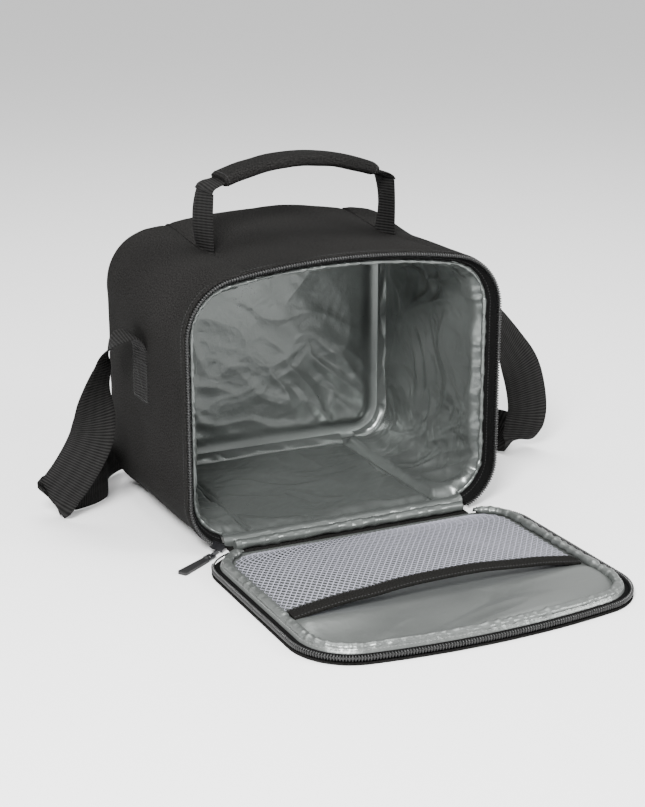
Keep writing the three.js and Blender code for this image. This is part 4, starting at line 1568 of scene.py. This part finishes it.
# ---------------------------------------------------------------- lid
@dataclass
class Lid:
    """The front, lying flat: shell, foam, lining, its gathered rim and the mesh pocket.

    Attributes:
        tray: how far the lining's edge lies inside the outline.
        middle: the X and Z that each plate's rings close to.
        cloth: the depths of the outer cloth's inner and outer faces.
        lining: the depths of the lining's inner and outer faces.
        rim_in: the rim roll's distance inside the outline.
        rim_y: its middle's depth.
        rim_radius: its plain radius.
        rim_length: its length.
        skirt_in: the skirt's distances inside the outline, at its outer and inner edges.
        skirt_y: its depths, at the same edges.
        mouth: the height of the pocket's mouth over the fold.
        pocket_low: the height of the pocket's foot.
        pocket_half: half the pocket's width.
        bulge: how far the pocket stands off at its mouth.
        base: its depth where it is sewn down.
        mesh_cell: the width and height of one hole and its cords.
        mesh_open: each hole's size as a share of its cell.
        mesh_thick: the cords' thickness.
        mesh_stop: how far below the mouth the mesh ends.
        binding_z: the binding's edges, from the mouth.
        binding_thick: its thickness.
    """

    tray: float = 0.009
    middle: tuple[float, float] = (0.0, 0.118)
    cloth: tuple[float, float] = (0.0012, 0.0002)
    lining: tuple[float, float] = (0.0056, 0.0048)
    rim_in: float = 0.0128
    rim_y: float = 0.0088
    rim_radius: float = 0.0026
    rim_length: float = 0.86
    skirt_in: tuple[float, float] = (0.0069, 0.0122)
    skirt_y: tuple[float, float] = (0.0058, 0.0094)
    mouth: float = 0.147
    pocket_low: float = 0.0185
    pocket_half: float = 0.1269
    bulge: float = 0.010
    base: float = 0.0063
    mesh_cell: tuple[float, float] = (0.0026, 0.0036)
    mesh_open: float = 0.84
    mesh_thick: float = 0.00045
    mesh_stop: float = 0.0098
    binding_z: tuple[float, float] = (-0.0105, 0.0060)
    binding_thick: float = 0.0016

    def plate(
        self,
        name: str,
        inset: float,
        low: float,
        inner: float,
        outer: float,
        finish: Finish,
        relief: Callable[[Array, Array, Array], Array | float],
    ) -> bpy.types.Object:
        """A plate of the lid's outline, as rings closing to its middle.

        Args:
            name: the piece's name.
            inset: how far inside the outline its edge runs.
            low: its straight edge's height over the fold.
            inner: the depth of the side that shows inside the bag.
            outer: the depth of the other side.
            finish: what it is made of.
            relief: gives extra height on the inner side at X and height arrays, and the ring's share.

        Returns:
            The object.
        """
        start = math.asin(max(-1.0, (low - BAG.base_round) / (BAG.base_round - inset)))
        points, normals = BAG.around(start, 300)
        edge = points - normals * inset
        bottom = np.stack([np.linspace(edge[-1, 0], edge[0, 0], 102)[1:-1], np.full(100, edge[0, 1])], -1)
        edge = np.concatenate([edge, bottom])
        share = 1 - np.linspace(0, ALMOST, 70)[:, None, None]
        flat = np.array(self.middle) + (edge - self.middle)[None] * share
        top = at_depth(flat, inner + relief(flat[..., 0], flat[..., 1], 1 - share[..., 0]))
        return slab(name, Grid(onto_lid(top), True), onto_lid(at_depth(flat, outer)), finish)

    def lining_relief(self, x: Array, z: Array, share: Array) -> Array:
        """Long soft folds over the lid's lining."""
        soft = Wrinkle(0.045, 0.12, 0.0034, 21.0, Crest.SOFT, 1.2).lift(x, z)
        fine = Wrinkle(0.03, 0.08, 0.0008, 23.0, Crest.CREASE, 1.4).lift(x, z)
        free = smooth((z - self.mouth) / 0.02)
        height = (soft + fine) * (0.15 + 0.85 * free) + 0.0004 + 0.0022 * free
        return np.clip(height, 0.0, 0.0065) * smooth(share / 0.12)

    @staticmethod
    def no_relief(x: Array, z: Array, share: Array) -> float:
        """Leaves a plate flat."""
        return 0.0

    def build(self) -> None:
        """Makes the lid."""
        obj = self.plate("lid_cloth", 0.0, 0.0016, *self.cloth, KIT.shell, self.no_relief)
        plan_uv(obj, 0, 1)
        Part(obj, Slot.SHELL, "lid", ("lid_shell",)).fit()
        fold = self.lining_relief
        obj = self.plate("lid_lining", self.tray, 0.0125, *self.lining, KIT.lid_liner, fold)
        Part(obj, Slot.LINER, "lid", ("lid_liner",)).fit()
        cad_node("lid_foam", KIT.foam)
        self.rim()
        self.apron()
        self.pocket()

    def rim(self) -> None:
        """The gathered silver roll round the lid, fuller where the cloth is pushed together."""
        points, normals = BAG.around(math.radians(-76), 900)
        run = np.linspace(0, self.rim_length, 900)
        turn = np.linspace(0, 2 * math.pi, 20, endpoint=False)
        slow = line_noise(run, 0.03, 4.0)
        pleat = 1 - np.minimum(1, np.abs(line_noise(run, 0.013, 1.0, 0.01)) * 2.4)
        fine = line_noise(run, 0.006, 7.0)
        radius = self.rim_radius * (1 + 0.22 * slow + 0.32 * pleat + 0.08 * fine)
        radius *= 0.35 + 0.65 * smooth(np.minimum(run, run[-1] - run) / 0.012)
        radius = radius[:, None] * (1 + 0.12 * skin_noise(run, turn, 0.008, 3.0))
        rings = roll(points, normals, self.rim_in, self.rim_y, radius, turn, 1.2)
        obj = tube("lid_rim_gathers", onto_lid(rings), KIT.hem)
        Part(obj, Slot.LINER, "lid", ("lid_rim_roll",)).fit()
        self.skirt(points, normals, pleat, fine)

    def skirt(self, points: Array, normals: Array, pleat: Array, fine: Array) -> None:
        """The lining between the lid's zip tape and its rim, drawn into the rim's pleats.

        Args:
            points: the outline.
            normals: its outward normals.
            pleat: how full the rim's pleats are at each point.
            fine: a fine ripple at each point.
        """
        t = np.linspace(0, 1, 14)[:, None]
        bow = np.sin(math.pi * t)
        folds = 0.0013 * pleat[None] * smooth(t * 1.4) + 0.0008 * fine[None] * bow
        deep = self.skirt_in[0] + (self.skirt_in[1] - self.skirt_in[0]) * t
        climb = (self.skirt_y[1] - self.skirt_y[0]) * t**0.8
        high = self.skirt_y[0] + climb + (0.0010 + folds) * bow
        face = at_depth(points[None] - normals[None] * deep[..., None], high)
        under = face - [0, 0.0007, 0]
        obj = slab("lid_rim_skirt", Grid(onto_lid(face)), onto_lid(under), KIT.hem)
        Part(obj, Slot.LINER, "lid").fit()
        seam = onto_lid(face[3] + [0, 0.0002, 0])[12:-12]
        up = np.tile([0.0, 0.0, 1.0], (len(seam), 1))
        thread = stitches("lid_rim_stitches", seam, up, KIT.pale_thread, 0.003)
        Part(thread, Slot.LINER, "lid").fit()

    def apron(self) -> None:
        """Carries the lining on from the pocket's foot to the fold."""
        z = np.linspace(0.0018, 0.0150, 10)
        lift = BAG.base_round - z
        half = BAG.half - BAG.base_round + np.sqrt(BAG.base_round**2 - lift**2) - 0.006
        x = np.linspace(-1, 1, 200)[None] * half[:, None]
        z = np.broadcast_to(z[:, None], x.shape)
        face = Grid(onto_lid(np.stack([x, np.full_like(x, 0.00162), z], -1)))
        back = onto_lid(np.stack([x, np.full_like(x, 0.00130), z], -1))
        Part(slab("lid_apron", face, back, KIT.liner), Slot.LINER, "lid").fit()

    def reach(self, z: Array) -> Array:
        """Half the pocket's width at a height over the fold."""
        radius = BAG.base_round - (BAG.half - self.pocket_half)
        low = BAG.half - BAG.base_round + np.sqrt(np.maximum(0, radius**2 - (BAG.base_round - z) ** 2))
        return np.where(z >= BAG.base_round, self.pocket_half, low)

    def over(self, x: Array, z: Array) -> Array:
        """The pocket cloth's depth at a place on the lid."""
        across = np.clip(1 - (x / self.pocket_half) ** 2, 0, 1)
        along = np.clip((z - self.pocket_low) / (self.mouth - self.pocket_low), 0, 1)
        sag = Wrinkle(0.06, 0.06, 0.0022, 31.0).lift(x, z) * across * along
        return self.base + self.bulge * across * np.sin(along * math.pi / 2) + sag + 0.001

    def pocket(self) -> None:
        """The mesh pocket: an open lattice sewn down round three sides, with a bound mouth."""
        wide, tall = self.mesh_cell
        end = self.mouth - self.mesh_stop
        nx = int(self.pocket_half / wide) * 2
        nz = int((end - self.pocket_low) / tall / 2) * 2
        ids: dict[tuple[int, int], int] = {}
        verts: list[tuple[float, float]] = []
        faces: list[list[int]] = []

        def vertex(i: int, k: int) -> int:
            """The number of the lattice point at a column and row."""
            if (i, k) not in ids:
                ids[i, k] = len(verts)
                verts.append((2 * i / nx - 1, k / nz))
            return ids[i, k]

        for i in range(nx + 1):
            for k in range(nz + 1):
                if (i + k) % 2 == 0 and 0 < i < nx and 0 < k < nz:
                    ring = ((i - 1, k), (i, k - 1), (i + 1, k), (i, k + 1))
                    faces.append([vertex(*place) for place in ring])
        flat = np.array(verts)
        z = self.pocket_low + (end - self.pocket_low) * flat[:, 1]
        x = self.reach(z) * flat[:, 0]
        place = onto_lid(np.stack([x, self.over(x, z), z], -1))
        mesh = bpy.data.meshes.new("pocket_net")
        mesh.from_pydata(place.tolist(), [], faces)
        net = link(mesh, "pocket_net")
        obj = lattice(net, "pocket_mesh", KIT.mesh, self.mesh_open, self.mesh_thick)
        Part(obj, Slot.MESH, "lid", ("mesh_pocket",)).fit()
        self.binding()

    def binding(self) -> None:
        """Binds the pocket's mouth, with a row of stitching along each edge."""
        t = np.linspace(0, 1, 9)
        zs = self.mouth + np.linspace(*self.binding_z, 9)
        cols = np.linspace(-1, 1, 160)
        x = np.outer(np.ones(9), cols) * self.reach(zs)[:, None]
        z = np.outer(zs, np.ones(160))
        high = self.over(x, np.full_like(z, self.mouth)) + 0.0008 + 0.0006 * np.sin(math.pi * t)[:, None]
        face = Grid(onto_lid(np.stack([x, high, z], -1)))
        back = onto_lid(np.stack([x, high - self.binding_thick, z], -1))
        Part(slab("pocket_binding", face, back, KIT.binding), Slot.BINDING, "lid", ("mesh_binding",)).fit()
        up = np.tile([0.0, 0.0, 1.0], (160, 1))
        for k, tag in ((1, "low"), (7, "high")):
            seam = face.points[k] + [0, 0, 0.0001]
            thread = stitches(f"pocket_binding_stitches_{tag}", seam, up, KIT.thread, 0.0028)
            Part(thread, Slot.BINDING, "lid").fit()


def lattice(
    net: bpy.types.Object, name: str, finish: Finish, open_share: float, thickness: float
) -> bpy.types.Object:
    """Opens a hole in every face of a net and gives it thickness, with a geometry tree.

    Args:
        net: the net, used up.
        name: the finished piece's name.
        finish: what it is made of.
        open_share: each hole's size as a share of its face's.
        thickness: how thick the cords are.

    Returns:
        The object.
    """
    sockets = {"Open": "Float", "Thickness": "Float", "Material": "Material"}
    grower = Grower("open_net", sockets)
    new, join, into = grower.new, grower.join, grower.into
    pull = new("GeometryNodeExtrudeMesh")
    pull.mode = "FACES"
    pull.inputs["Individual"].default_value = True
    pull.inputs["Offset Scale"].default_value = 0.0
    shrink = new("GeometryNodeScaleElements")
    shrink.domain = "FACE"
    drop = new("GeometryNodeDeleteGeometry")
    drop.domain = "FACE"
    join(into.outputs["Geometry"], pull.inputs["Mesh"])
    join(pull.outputs["Mesh"], shrink.inputs["Geometry"])
    join(pull.outputs["Top"], shrink.inputs["Selection"])
    join(into.outputs["Open"], shrink.inputs["Scale"])
    join(shrink.outputs[0], drop.inputs["Geometry"])
    join(pull.outputs["Top"], drop.inputs["Selection"])
    thick = new("GeometryNodeExtrudeMesh")
    thick.mode = "FACES"
    thick.inputs["Individual"].default_value = False
    join(drop.outputs[0], thick.inputs["Mesh"])
    join(into.outputs["Thickness"], thick.inputs["Offset Scale"])
    flip, both = new("GeometryNodeFlipFaces"), new("GeometryNodeJoinGeometry")
    join(drop.outputs[0], flip.inputs["Mesh"])
    join(thick.outputs["Mesh"], both.inputs[0])
    join(flip.outputs[0], both.inputs[0])
    weld, real = new("GeometryNodeMergeByDistance"), new("GeometryNodeRealizeInstances")
    weld.inputs["Distance"].default_value = 1e-6
    join(both.outputs[0], weld.inputs["Geometry"])
    join(weld.outputs[0], real.inputs[0])
    grower.dress(real.outputs[0])
    values = {"Open": open_share, "Thickness": thickness, "Material": dressed(finish)}
    made = grower.grow(net, name, values)
    facing_out(made)
    if not made.uv_layers:
        made.uv_layers.new(name="UVMap")
    obj = link(made, name)
    plan_uv(obj, 0, 1)
    return obj


@dataclass
class Fold:
    """The strip and padded ridge between bag and lid.

    Attributes:
        sill_half: half the sill's width.
        strip_half: half the strip's width.
        ridge_half: half the ridge's length.
        ridge_radius: its plain radius.
        ridge_y: its middle's distance behind the hinge.
        ridge_z: its middle's height.
        sill_curve: the sill's section, from the lining's floor down to the strip.
    """

    sill_half: float = 0.114
    strip_half: float = 0.112
    ridge_half: float = 0.108
    ridge_radius: float = 0.0039
    ridge_y: float = 0.0066
    ridge_z: float = 0.0060
    sill_curve: tuple[tuple[float, float, float], ...] = (
        (0, -0.0905, 0.0090),
        (0, -0.0945, 0.0096),
        (0, -0.0980, 0.0086),
        (0, -0.1001, 0.0058),
        (0, -0.1006, 0.0018),
    )

    def sill(self) -> None:
        """Carries the lining forward over the foam's edge and down to the fold."""
        section = curve_through(np.array(self.sill_curve), 16)[:, 1:]
        x = np.linspace(-self.sill_half, self.sill_half, 200)
        past = np.maximum(0, np.abs(x) - (BAG.half - BAG.base_round))
        radius = BAG.base_round - LINER_IN
        face = np.empty((16, 200, 3))
        face[..., 0] = x[None]
        face[..., 1:] = section[:, None]
        face[..., 2] += (radius - np.sqrt(radius**2 - past**2))[None]
        net = Grid(face)
        lift = Wrinkle(0.02, 0.04, 0.0011, 41.0, Crest.CREASE, 0.4).lift(net.u, net.v)
        lift = lift * np.sin(np.linspace(0, math.pi, 16))[:, None]
        up = np.sign(net.normals()[2, 5, 2])
        front = net.moved(up * lift)
        back = net.moved(up * -0.0006).points
        Part(slab("liner_sill", front, back, KIT.liner), Slot.LINER, "shell").fit()

    def build(self) -> None:
        """Makes the strip, the silver ridge over it and the sill behind that."""
        self.sill()
        x = np.linspace(-self.strip_half, self.strip_half, 160)
        y = np.linspace(BAG.hinge + 0.0003, BAG.front + 0.0042, 14)
        top = np.stack(np.meshgrid(x, y), -1)
        face = np.concatenate([top, np.full((*top.shape[:2], 1), 0.0012)], -1)
        back = face.copy()
        back[..., 2] = 0.0002
        Part(slab("fold_cloth", Grid(face), back, KIT.shell), Slot.SHELL, "shell", ("fold_strip",)).fit()
        x = np.linspace(-self.ridge_half, self.ridge_half, 300)
        turn = np.linspace(0, 2 * math.pi, 18, endpoint=False)
        pleat = 1 - np.minimum(1, np.abs(line_noise(x, 0.016, 3.0)) * 2.2)
        swell = 0.22 * pleat[:, None] + 0.22 * skin_noise(x, turn, 0.02, 6.0)
        radius = self.ridge_radius * (1 + swell)
        rings = np.empty((300, 18, 3))
        rings[..., 0] = x[:, None]
        y = self.ridge_y + radius * np.cos(turn)[None]
        rings[..., 1] = BAG.hinge + np.maximum(0.0017, y)
        rings[..., 2] = np.maximum(0.0014, self.ridge_z + radius * np.sin(turn)[None])
        Part(tube("fold_ridge", rings, KIT.liner), Slot.LINER, "shell", ("fold_roll",)).fit()


# ---------------------------------------------------------------- webbing
def strip_section(count: int, thick: float) -> tuple[Array, Array]:
    """The section of webbing: flat, with firm rounded edges.

    Args:
        count: how many points across each face.
        thick: the webbing's thickness.

    Returns:
        Each point's place across it, from -1 to 1, and its height.
    """
    s = np.linspace(-1, 1, count)
    edge = np.sqrt(np.clip(1 - np.abs(s) ** 14, 0.12, 1)) * thick / 2
    return np.concatenate([s, s[::-1]]), np.concatenate([edge, -edge[::-1]])


def ribbon(
    name: str, line: Array, across: Array, width: float, thick: float, finish: Finish
) -> bpy.types.Object:
    """Webbing along a line.

    Args:
        name: the piece's name.
        line: points along its middle.
        across: unit directions of its width, one a point.
        width: its width.
        thick: its thickness.
        finish: what it is woven of.

    Returns:
        The object.
    """
    tangent = unit(np.gradient(line, axis=0))
    across = unit(across - tangent * np.sum(across * tangent, axis=1, keepdims=True))
    up = np.cross(tangent, across)
    place, height = strip_section(13, thick)
    place = place * width / 2
    rings = line[:, None] + across[:, None] * place[None, :, None] + up[:, None] * height[None, :, None]
    obj = tube(name, rings, finish, 60.0)
    run = distances(line)
    uv = np.stack(np.broadcast_arrays(run[:, None], place[None]), -1)
    set_uv(obj, np.concatenate([uv.reshape(-1, 2), [[0, 0], [run[-1], 0]]]))
    return obj


# Each point of the strap in millimetres, then the direction that its width lies in.
STRAP_ROUTE: tuple[tuple[float, ...], ...] = (
    (-147.9, -2, 153.2, 0, 1, 0),
    (-151.5, -2, 163.5, 0, 1, 0.03),
    (-158, -2, 167.5, 0.05, 1, 0),
    (-168, -2, 164, 0.2, 0.97, 0.05),
    (-178.5, -3, 152, 0.5, 0.85, -0.1),
    (-182.8, -4, 139.5, 0.64, 0.73, -0.24),
    (-187.8, -4, 125, 0.77, 0.59, -0.24),
    (-190.2, -3, 111.3, 0.89, 0.37, -0.27),
    (-190.3, 0, 95.4, 0.94, 0.09, -0.34),
    (-191.5, 5, 79, 0.91, -0.23, -0.34),
    (-197, 11, 62, 0.83, -0.49, -0.26),
    (-206.3, 18, 42.7, 0.79, -0.5, -0.35),
    (-214.5, 24, 28.7, 0.72, -0.51, -0.47),
    (-220.6, 29, 17.5, 0.57, -0.5, -0.66),
    (-220, 37, 19.4, 0.35, -0.3, -0.9),
    (-209, 41, 20, 0.1, 0, -1),
    (-193, 43, 20, 0, 0, -1),
    (-176, 50, 20, 0, 0, -1),
    (-162, 62, 20, 0, 0, -1),
    (-155, 79, 20, 0, 0, -1),
    (-150, 98, 20.5, 0, 0, -1),
    (-138, 113, 22, 0, 0, -1),
    (-121, 121, 23.5, 0, 0, -1),
    (-87, 123, 24, 0, 0, -1),
    (-24, 123, 24, 0, 0, -1),
    (-5, 121, 22.5, 0, 0, -1),
    (10, 118, 20.5, 0, 0, -1),
    (50, 116, 20, 0, 0, -1),
    (90, 118, 20, 0, 0, -1),
    (118, 119, 20, 0, 0, -1),
    (139, 112, 20, 0, 0, -1),
    (157, 96, 20, 0, 0, -1),
    (171, 77, 20, 0, 0, -1),
    (189, 61, 20, 0, 0, -1),
    (208, 49, 20, 0, 0, -1),
    (225, 38, 20, -0.1, 0, -1),
    (235, 28, 18, -0.55, -0.05, -0.8),
    (241, 18, 10.5, -0.95, 0.03, -0.25),
    (246, 11, 26, -0.89, 0.31, -0.34),
    (249, 9, 47, -0.9, 0.35, -0.25),
    (240, 6, 82, -0.87, 0.28, -0.41),
    (224, 3, 110, -0.93, -0.27, -0.25),
    (205.5, 1, 134, -0.86, -0.47, -0.22),
    (188, -1, 156, -0.5, -0.8, -0.1),
    (172, -1, 167.5, -0.1, -1, -0.03),
    (159, -2, 170, 0, -1, 0),
    (151.3, -2, 164, 0, -1, 0),
    (147.9, -2, 153.2, 0, -1, 0),
)


@dataclass
class Strap:
    """The shoulder strap: sewn ends, one free run of webbing behind the bag, and its adjuster.

    Attributes:
        width: the webbing's width.
        thick: its thickness.
        tail: the points of the route that the spare end lies between.
        tail_gap: from the strap's middle to the spare end's.
        patch_z: the heights of a sewn end's edges.
        box_y: the stitched box's edges in Y.
        box_z: its edges in Z.
    """

    width: float = 0.038
    thick: float = 0.0016
    tail: tuple[int, int] = (18, 23)
    tail_gap: float = 0.0023
    patch_z: tuple[float, float] = (0.108, 0.1525)
    box_y: tuple[float, float] = (-0.0185, 0.0145)
    box_z: tuple[float, float] = (0.1105, 0.1435)

    def route(self) -> tuple[Array, Array]:
        """The strap's line and the directions of its width, in metres."""
        data = np.array(STRAP_ROUTE, float)
        data[:, :3] /= 1000
        fine = curve_through(data, 420)
        return fine[:, :3], unit(fine[:, 3:])

    def build(self) -> None:
        """Makes the strap and what is on it."""
        line, across = self.route()
        obj = ribbon("strap_webbing", line, across, self.width, self.thick, KIT.webbing)
        Part(obj, Slot.WEBBING, "shell", ("shoulder_strap",)).fit()
        first, last = (np.array(STRAP_ROUTE[k][:3]) / 1000 for k in self.tail)
        a = int(np.argmin(np.linalg.norm(line - first, axis=1)))
        b = int(np.argmin(np.linalg.norm(line - last, axis=1)))
        tangent = unit(np.gradient(line, axis=0))
        side = unit(across - tangent * np.sum(across * tangent, axis=1, keepdims=True))
        spare = (line + np.cross(tangent, side) * self.tail_gap)[a:b]
        tail = ribbon("strap_tail_webbing", spare, across[a:b], self.width, self.thick, KIT.webbing)
        Part(tail, Slot.WEBBING, "shell", ("strap_tail",)).fit()
        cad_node("strap_adjuster", KIT.plastic)
        for name, sign in (("left", -1), ("right", 1)):
            self.patch(name, sign)

    def patch(self, name: str, sign: int) -> None:
        """The strap's sewn end: a flat patch with a stitched box and one diagonal."""
        x = sign * (BAG.half + 0.0013)
        z = np.linspace(*self.patch_z, 40)
        line = np.stack([np.full(40, x + sign * 0.0003), np.full(40, -0.002), z], -1)
        across = np.tile([0.0, 1.0, 0.0], (40, 1))
        obj = ribbon(f"strap_patch_{name}", line, across, self.width, 0.0018, KIT.webbing)
        Part(obj, Slot.WEBBING, "shell", (f"strap_end_{name}",)).fit()
        face = x + sign * 0.0014
        (y0, y1), (z0, z1) = self.box_y, self.box_z
        corners = [(y0, z0), (y1, z0), (y1, z1), (y0, z1), (y0, z0), (y1, z1)]
        rows = []
        for (ya, za), (yb, zb) in zip(corners, corners[1:]):
            t = np.linspace(0, 1, 20)
            rows.append(np.stack([np.full(20, face), ya + (yb - ya) * t, za + (zb - za) * t], -1))
        path = np.concatenate(rows)
        up = np.tile([float(sign), 0.0, 0.0], (len(path), 1))
        thread = stitches(f"strap_patch_stitches_{name}", path, up, KIT.thread, 0.0026)
        Part(thread, Slot.WEBBING, "shell").fit()


@dataclass
class Handle:
    """The carry handle: webbing legs and a padded sleeve sewn round the grip.

    Attributes:
        span: from the middle out to each leg.
        foot: the height where the legs leave the roof.
        leg_top: the height of the legs' tops, where the grip turns.
        rise: how far the grip arches.
        sleeve: half the sleeve's length.
        width: the legs' width.
        thick: the webbing's thickness.
        seam: the angle of the sleeve's closing seam round the grip, in radians.
        end_bend: where the grip's webbing bends from a leg's top towards the sleeve.
    """

    span: float = 0.086
    foot: float = 0.23399
    leg_top: float = 0.28399
    rise: float = 0.0195
    sleeve: float = 0.072
    width: float = 0.038
    thick: float = 0.0017
    seam: float = 4.1
    end_bend: tuple[tuple[float, float, float], ...] = (
        (0.0856, 0, 0.2846),
        (0.0842, 0, 0.2868),
        (0.0800, 0, 0.2889),
    )

    def grip_line(self, x: Array) -> Array:
        """The grip's middle line at distances from the bag's middle."""
        t = x / self.span
        return np.stack([x, 0 * x, self.leg_top + 0.0015 + self.rise * (1 - t**2)], -1)

    def build(self) -> None:
        """Makes the handle."""
        for name, sign in (("left", -1), ("right", 1)):
            z = np.linspace(self.foot - 0.001, self.leg_top - 0.0013, 60)
            t = (z - z[0]) / (z[-1] - z[0])
            bow = 0.0018 * np.sin(math.pi * t) - 0.0008 * t**5
            line = np.stack([sign * (self.span + bow), 0 * z, z], -1)
            yaw = math.radians(8) * t * (1 - t) * 2.5 * sign
            across = np.stack([np.sin(yaw), np.cos(yaw), 0 * z], -1)
            obj = ribbon(f"handle_leg_{name}_webbing", line, across, self.width, self.thick, KIT.webbing)
            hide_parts(f"handle_leg_{name}", f"handle_end_{name}")
            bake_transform(obj)
            log.info("%s blends from shell to leg_%s", obj.name, name)
        self.core()
        self.padding()

    def core(self) -> None:
        """The grip's own webbing, which narrows into the sleeve and turns round its ends."""
        line = self.grip_line(np.linspace(-self.span, self.span, 120))[8:-8]
        bend = np.array(self.end_bend)
        line = curve_through(np.concatenate([bend * [-1, 1, 1], line, bend[::-1]]), 150)
        taper = smooth((np.abs(line[:, 0]) - 0.066) / 0.016)
        rings = band(line, 0.014 + 0.005 * taper, self.thick)
        core = tube("grip_webbing", rings, KIT.webbing, 60.0)
        Part(core, Slot.WEBBING, "grip", ("handle_core",)).fit()
        for tag, sign in (("left", -1), ("right", 1)):
            y = np.linspace(-0.0178, 0.0178, 12)
            pin = np.stack([np.full(12, sign * self.span), y, np.full(12, self.leg_top)], -1)
            turned = cordon(f"grip_turn_{tag}", pin, 0.0011, KIT.webbing, 12)
            Part(turned, Slot.WEBBING, "grip").fit()

    def padding(self) -> None:
        """The sleeve: padded cloth wrapped round the grip and closed along its underside."""
        n, m = 150, 40
        x = np.linspace(-self.sleeve, self.sleeve, n)
        line = self.grip_line(x)
        tangent = unit(np.gradient(line, axis=0))
        up = np.cross(tangent, [0.0, -1.0, 0.0])
        up *= np.sign(up[:, 2:3])
        turn = np.linspace(0, 2 * math.pi, m, endpoint=False)
        end = np.minimum(1.0, (1 - np.abs(x / self.sleeve)) * 14) ** 0.5
        width = (0.0158 + 0.0006 * end)[:, None]
        high = (0.0046 + 0.0014 * end)[:, None]
        c, s = np.cos(turn)[None], np.sin(turn)[None]
        wide = np.sign(c) * np.abs(c) ** 0.6 * width
        tall = np.sign(s) * np.abs(s) ** 0.75 * high
        u = np.broadcast_to(x[:, None], (n, m))
        v = np.broadcast_to(turn[None] * 0.012, (n, m))
        soft = 1 + 0.07 * perlin(np.stack([u / 0.018, v / 0.02, 0 * u], -1), 2.0)
        groove = 1 - 0.16 * np.exp(-(((turn[None] - self.seam) / 0.10) ** 2))
        sideways = np.array([0.0, 1.0, 0.0]) * (wide * soft)[..., None]
        rings = line[:, None] + sideways + up[:, None] * (tall * soft * groove)[..., None]
        obj = tube("grip_sleeve", rings, KIT.sleeve)
        seam = int(m * self.seam / (2 * math.pi))
        ends = [k * m + j for k in (0, 1, 2, 3, n - 4, n - 3, n - 2, n - 1) for j in range(m)]
        sewn = ends + [k * m + seam for k in range(n)] + [n * m, n * m + 1]
        plump(obj, sewn, pressure=6.0, cap=0.0018)
        Part(obj, Slot.SHELL, "grip", ("handle_sleeve",)).fit()
        for tag, sign in (("left", -1), ("right", 1)):
            k = 3 if sign < 0 else n - 4
            ring = np.concatenate([rings[k], rings[k][:1]])
            out = unit(ring - line[k])
            thread = stitches(f"grip_sleeve_stitches_{tag}", ring + out * 0.0002, out, KIT.thread, 0.0028)
            Part(thread, Slot.SHELL, "grip").fit()


def band(line: Array, half: Array, thick: float) -> Array:
    """Rings of a flat band along a line in the XZ plane, with its width along Y."""
    tangent = unit(np.gradient(line, axis=0))
    up = np.cross(tangent, np.array([0.0, -1.0, 0.0]))
    place, height = strip_section(11, thick)
    wide = np.array([0.0, 1.0, 0.0]) * (half[:, None] * place[None])[..., None]
    return line[:, None] + wide + up[:, None] * height[None, :, None]


def main() -> None:
    """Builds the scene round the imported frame."""
    logging.basicConfig(level=logging.INFO, format="%(name)s: %(message)s")
    for obj in list(bpy.data.objects):
        bpy.data.objects.remove(obj)
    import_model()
    studio = Studio()
    studio.camera()
    Strap().build()
    Shell().build()
    Liner().build()
    Zip().build()
    Lid().build()
    Fold().build()
    Handle().build()
    for side in ("top", "left", "right", "base", "back"):
        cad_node(f"foam_{side}", KIT.foam)
    studio.floor()


if __name__ == "__main__":
    main()
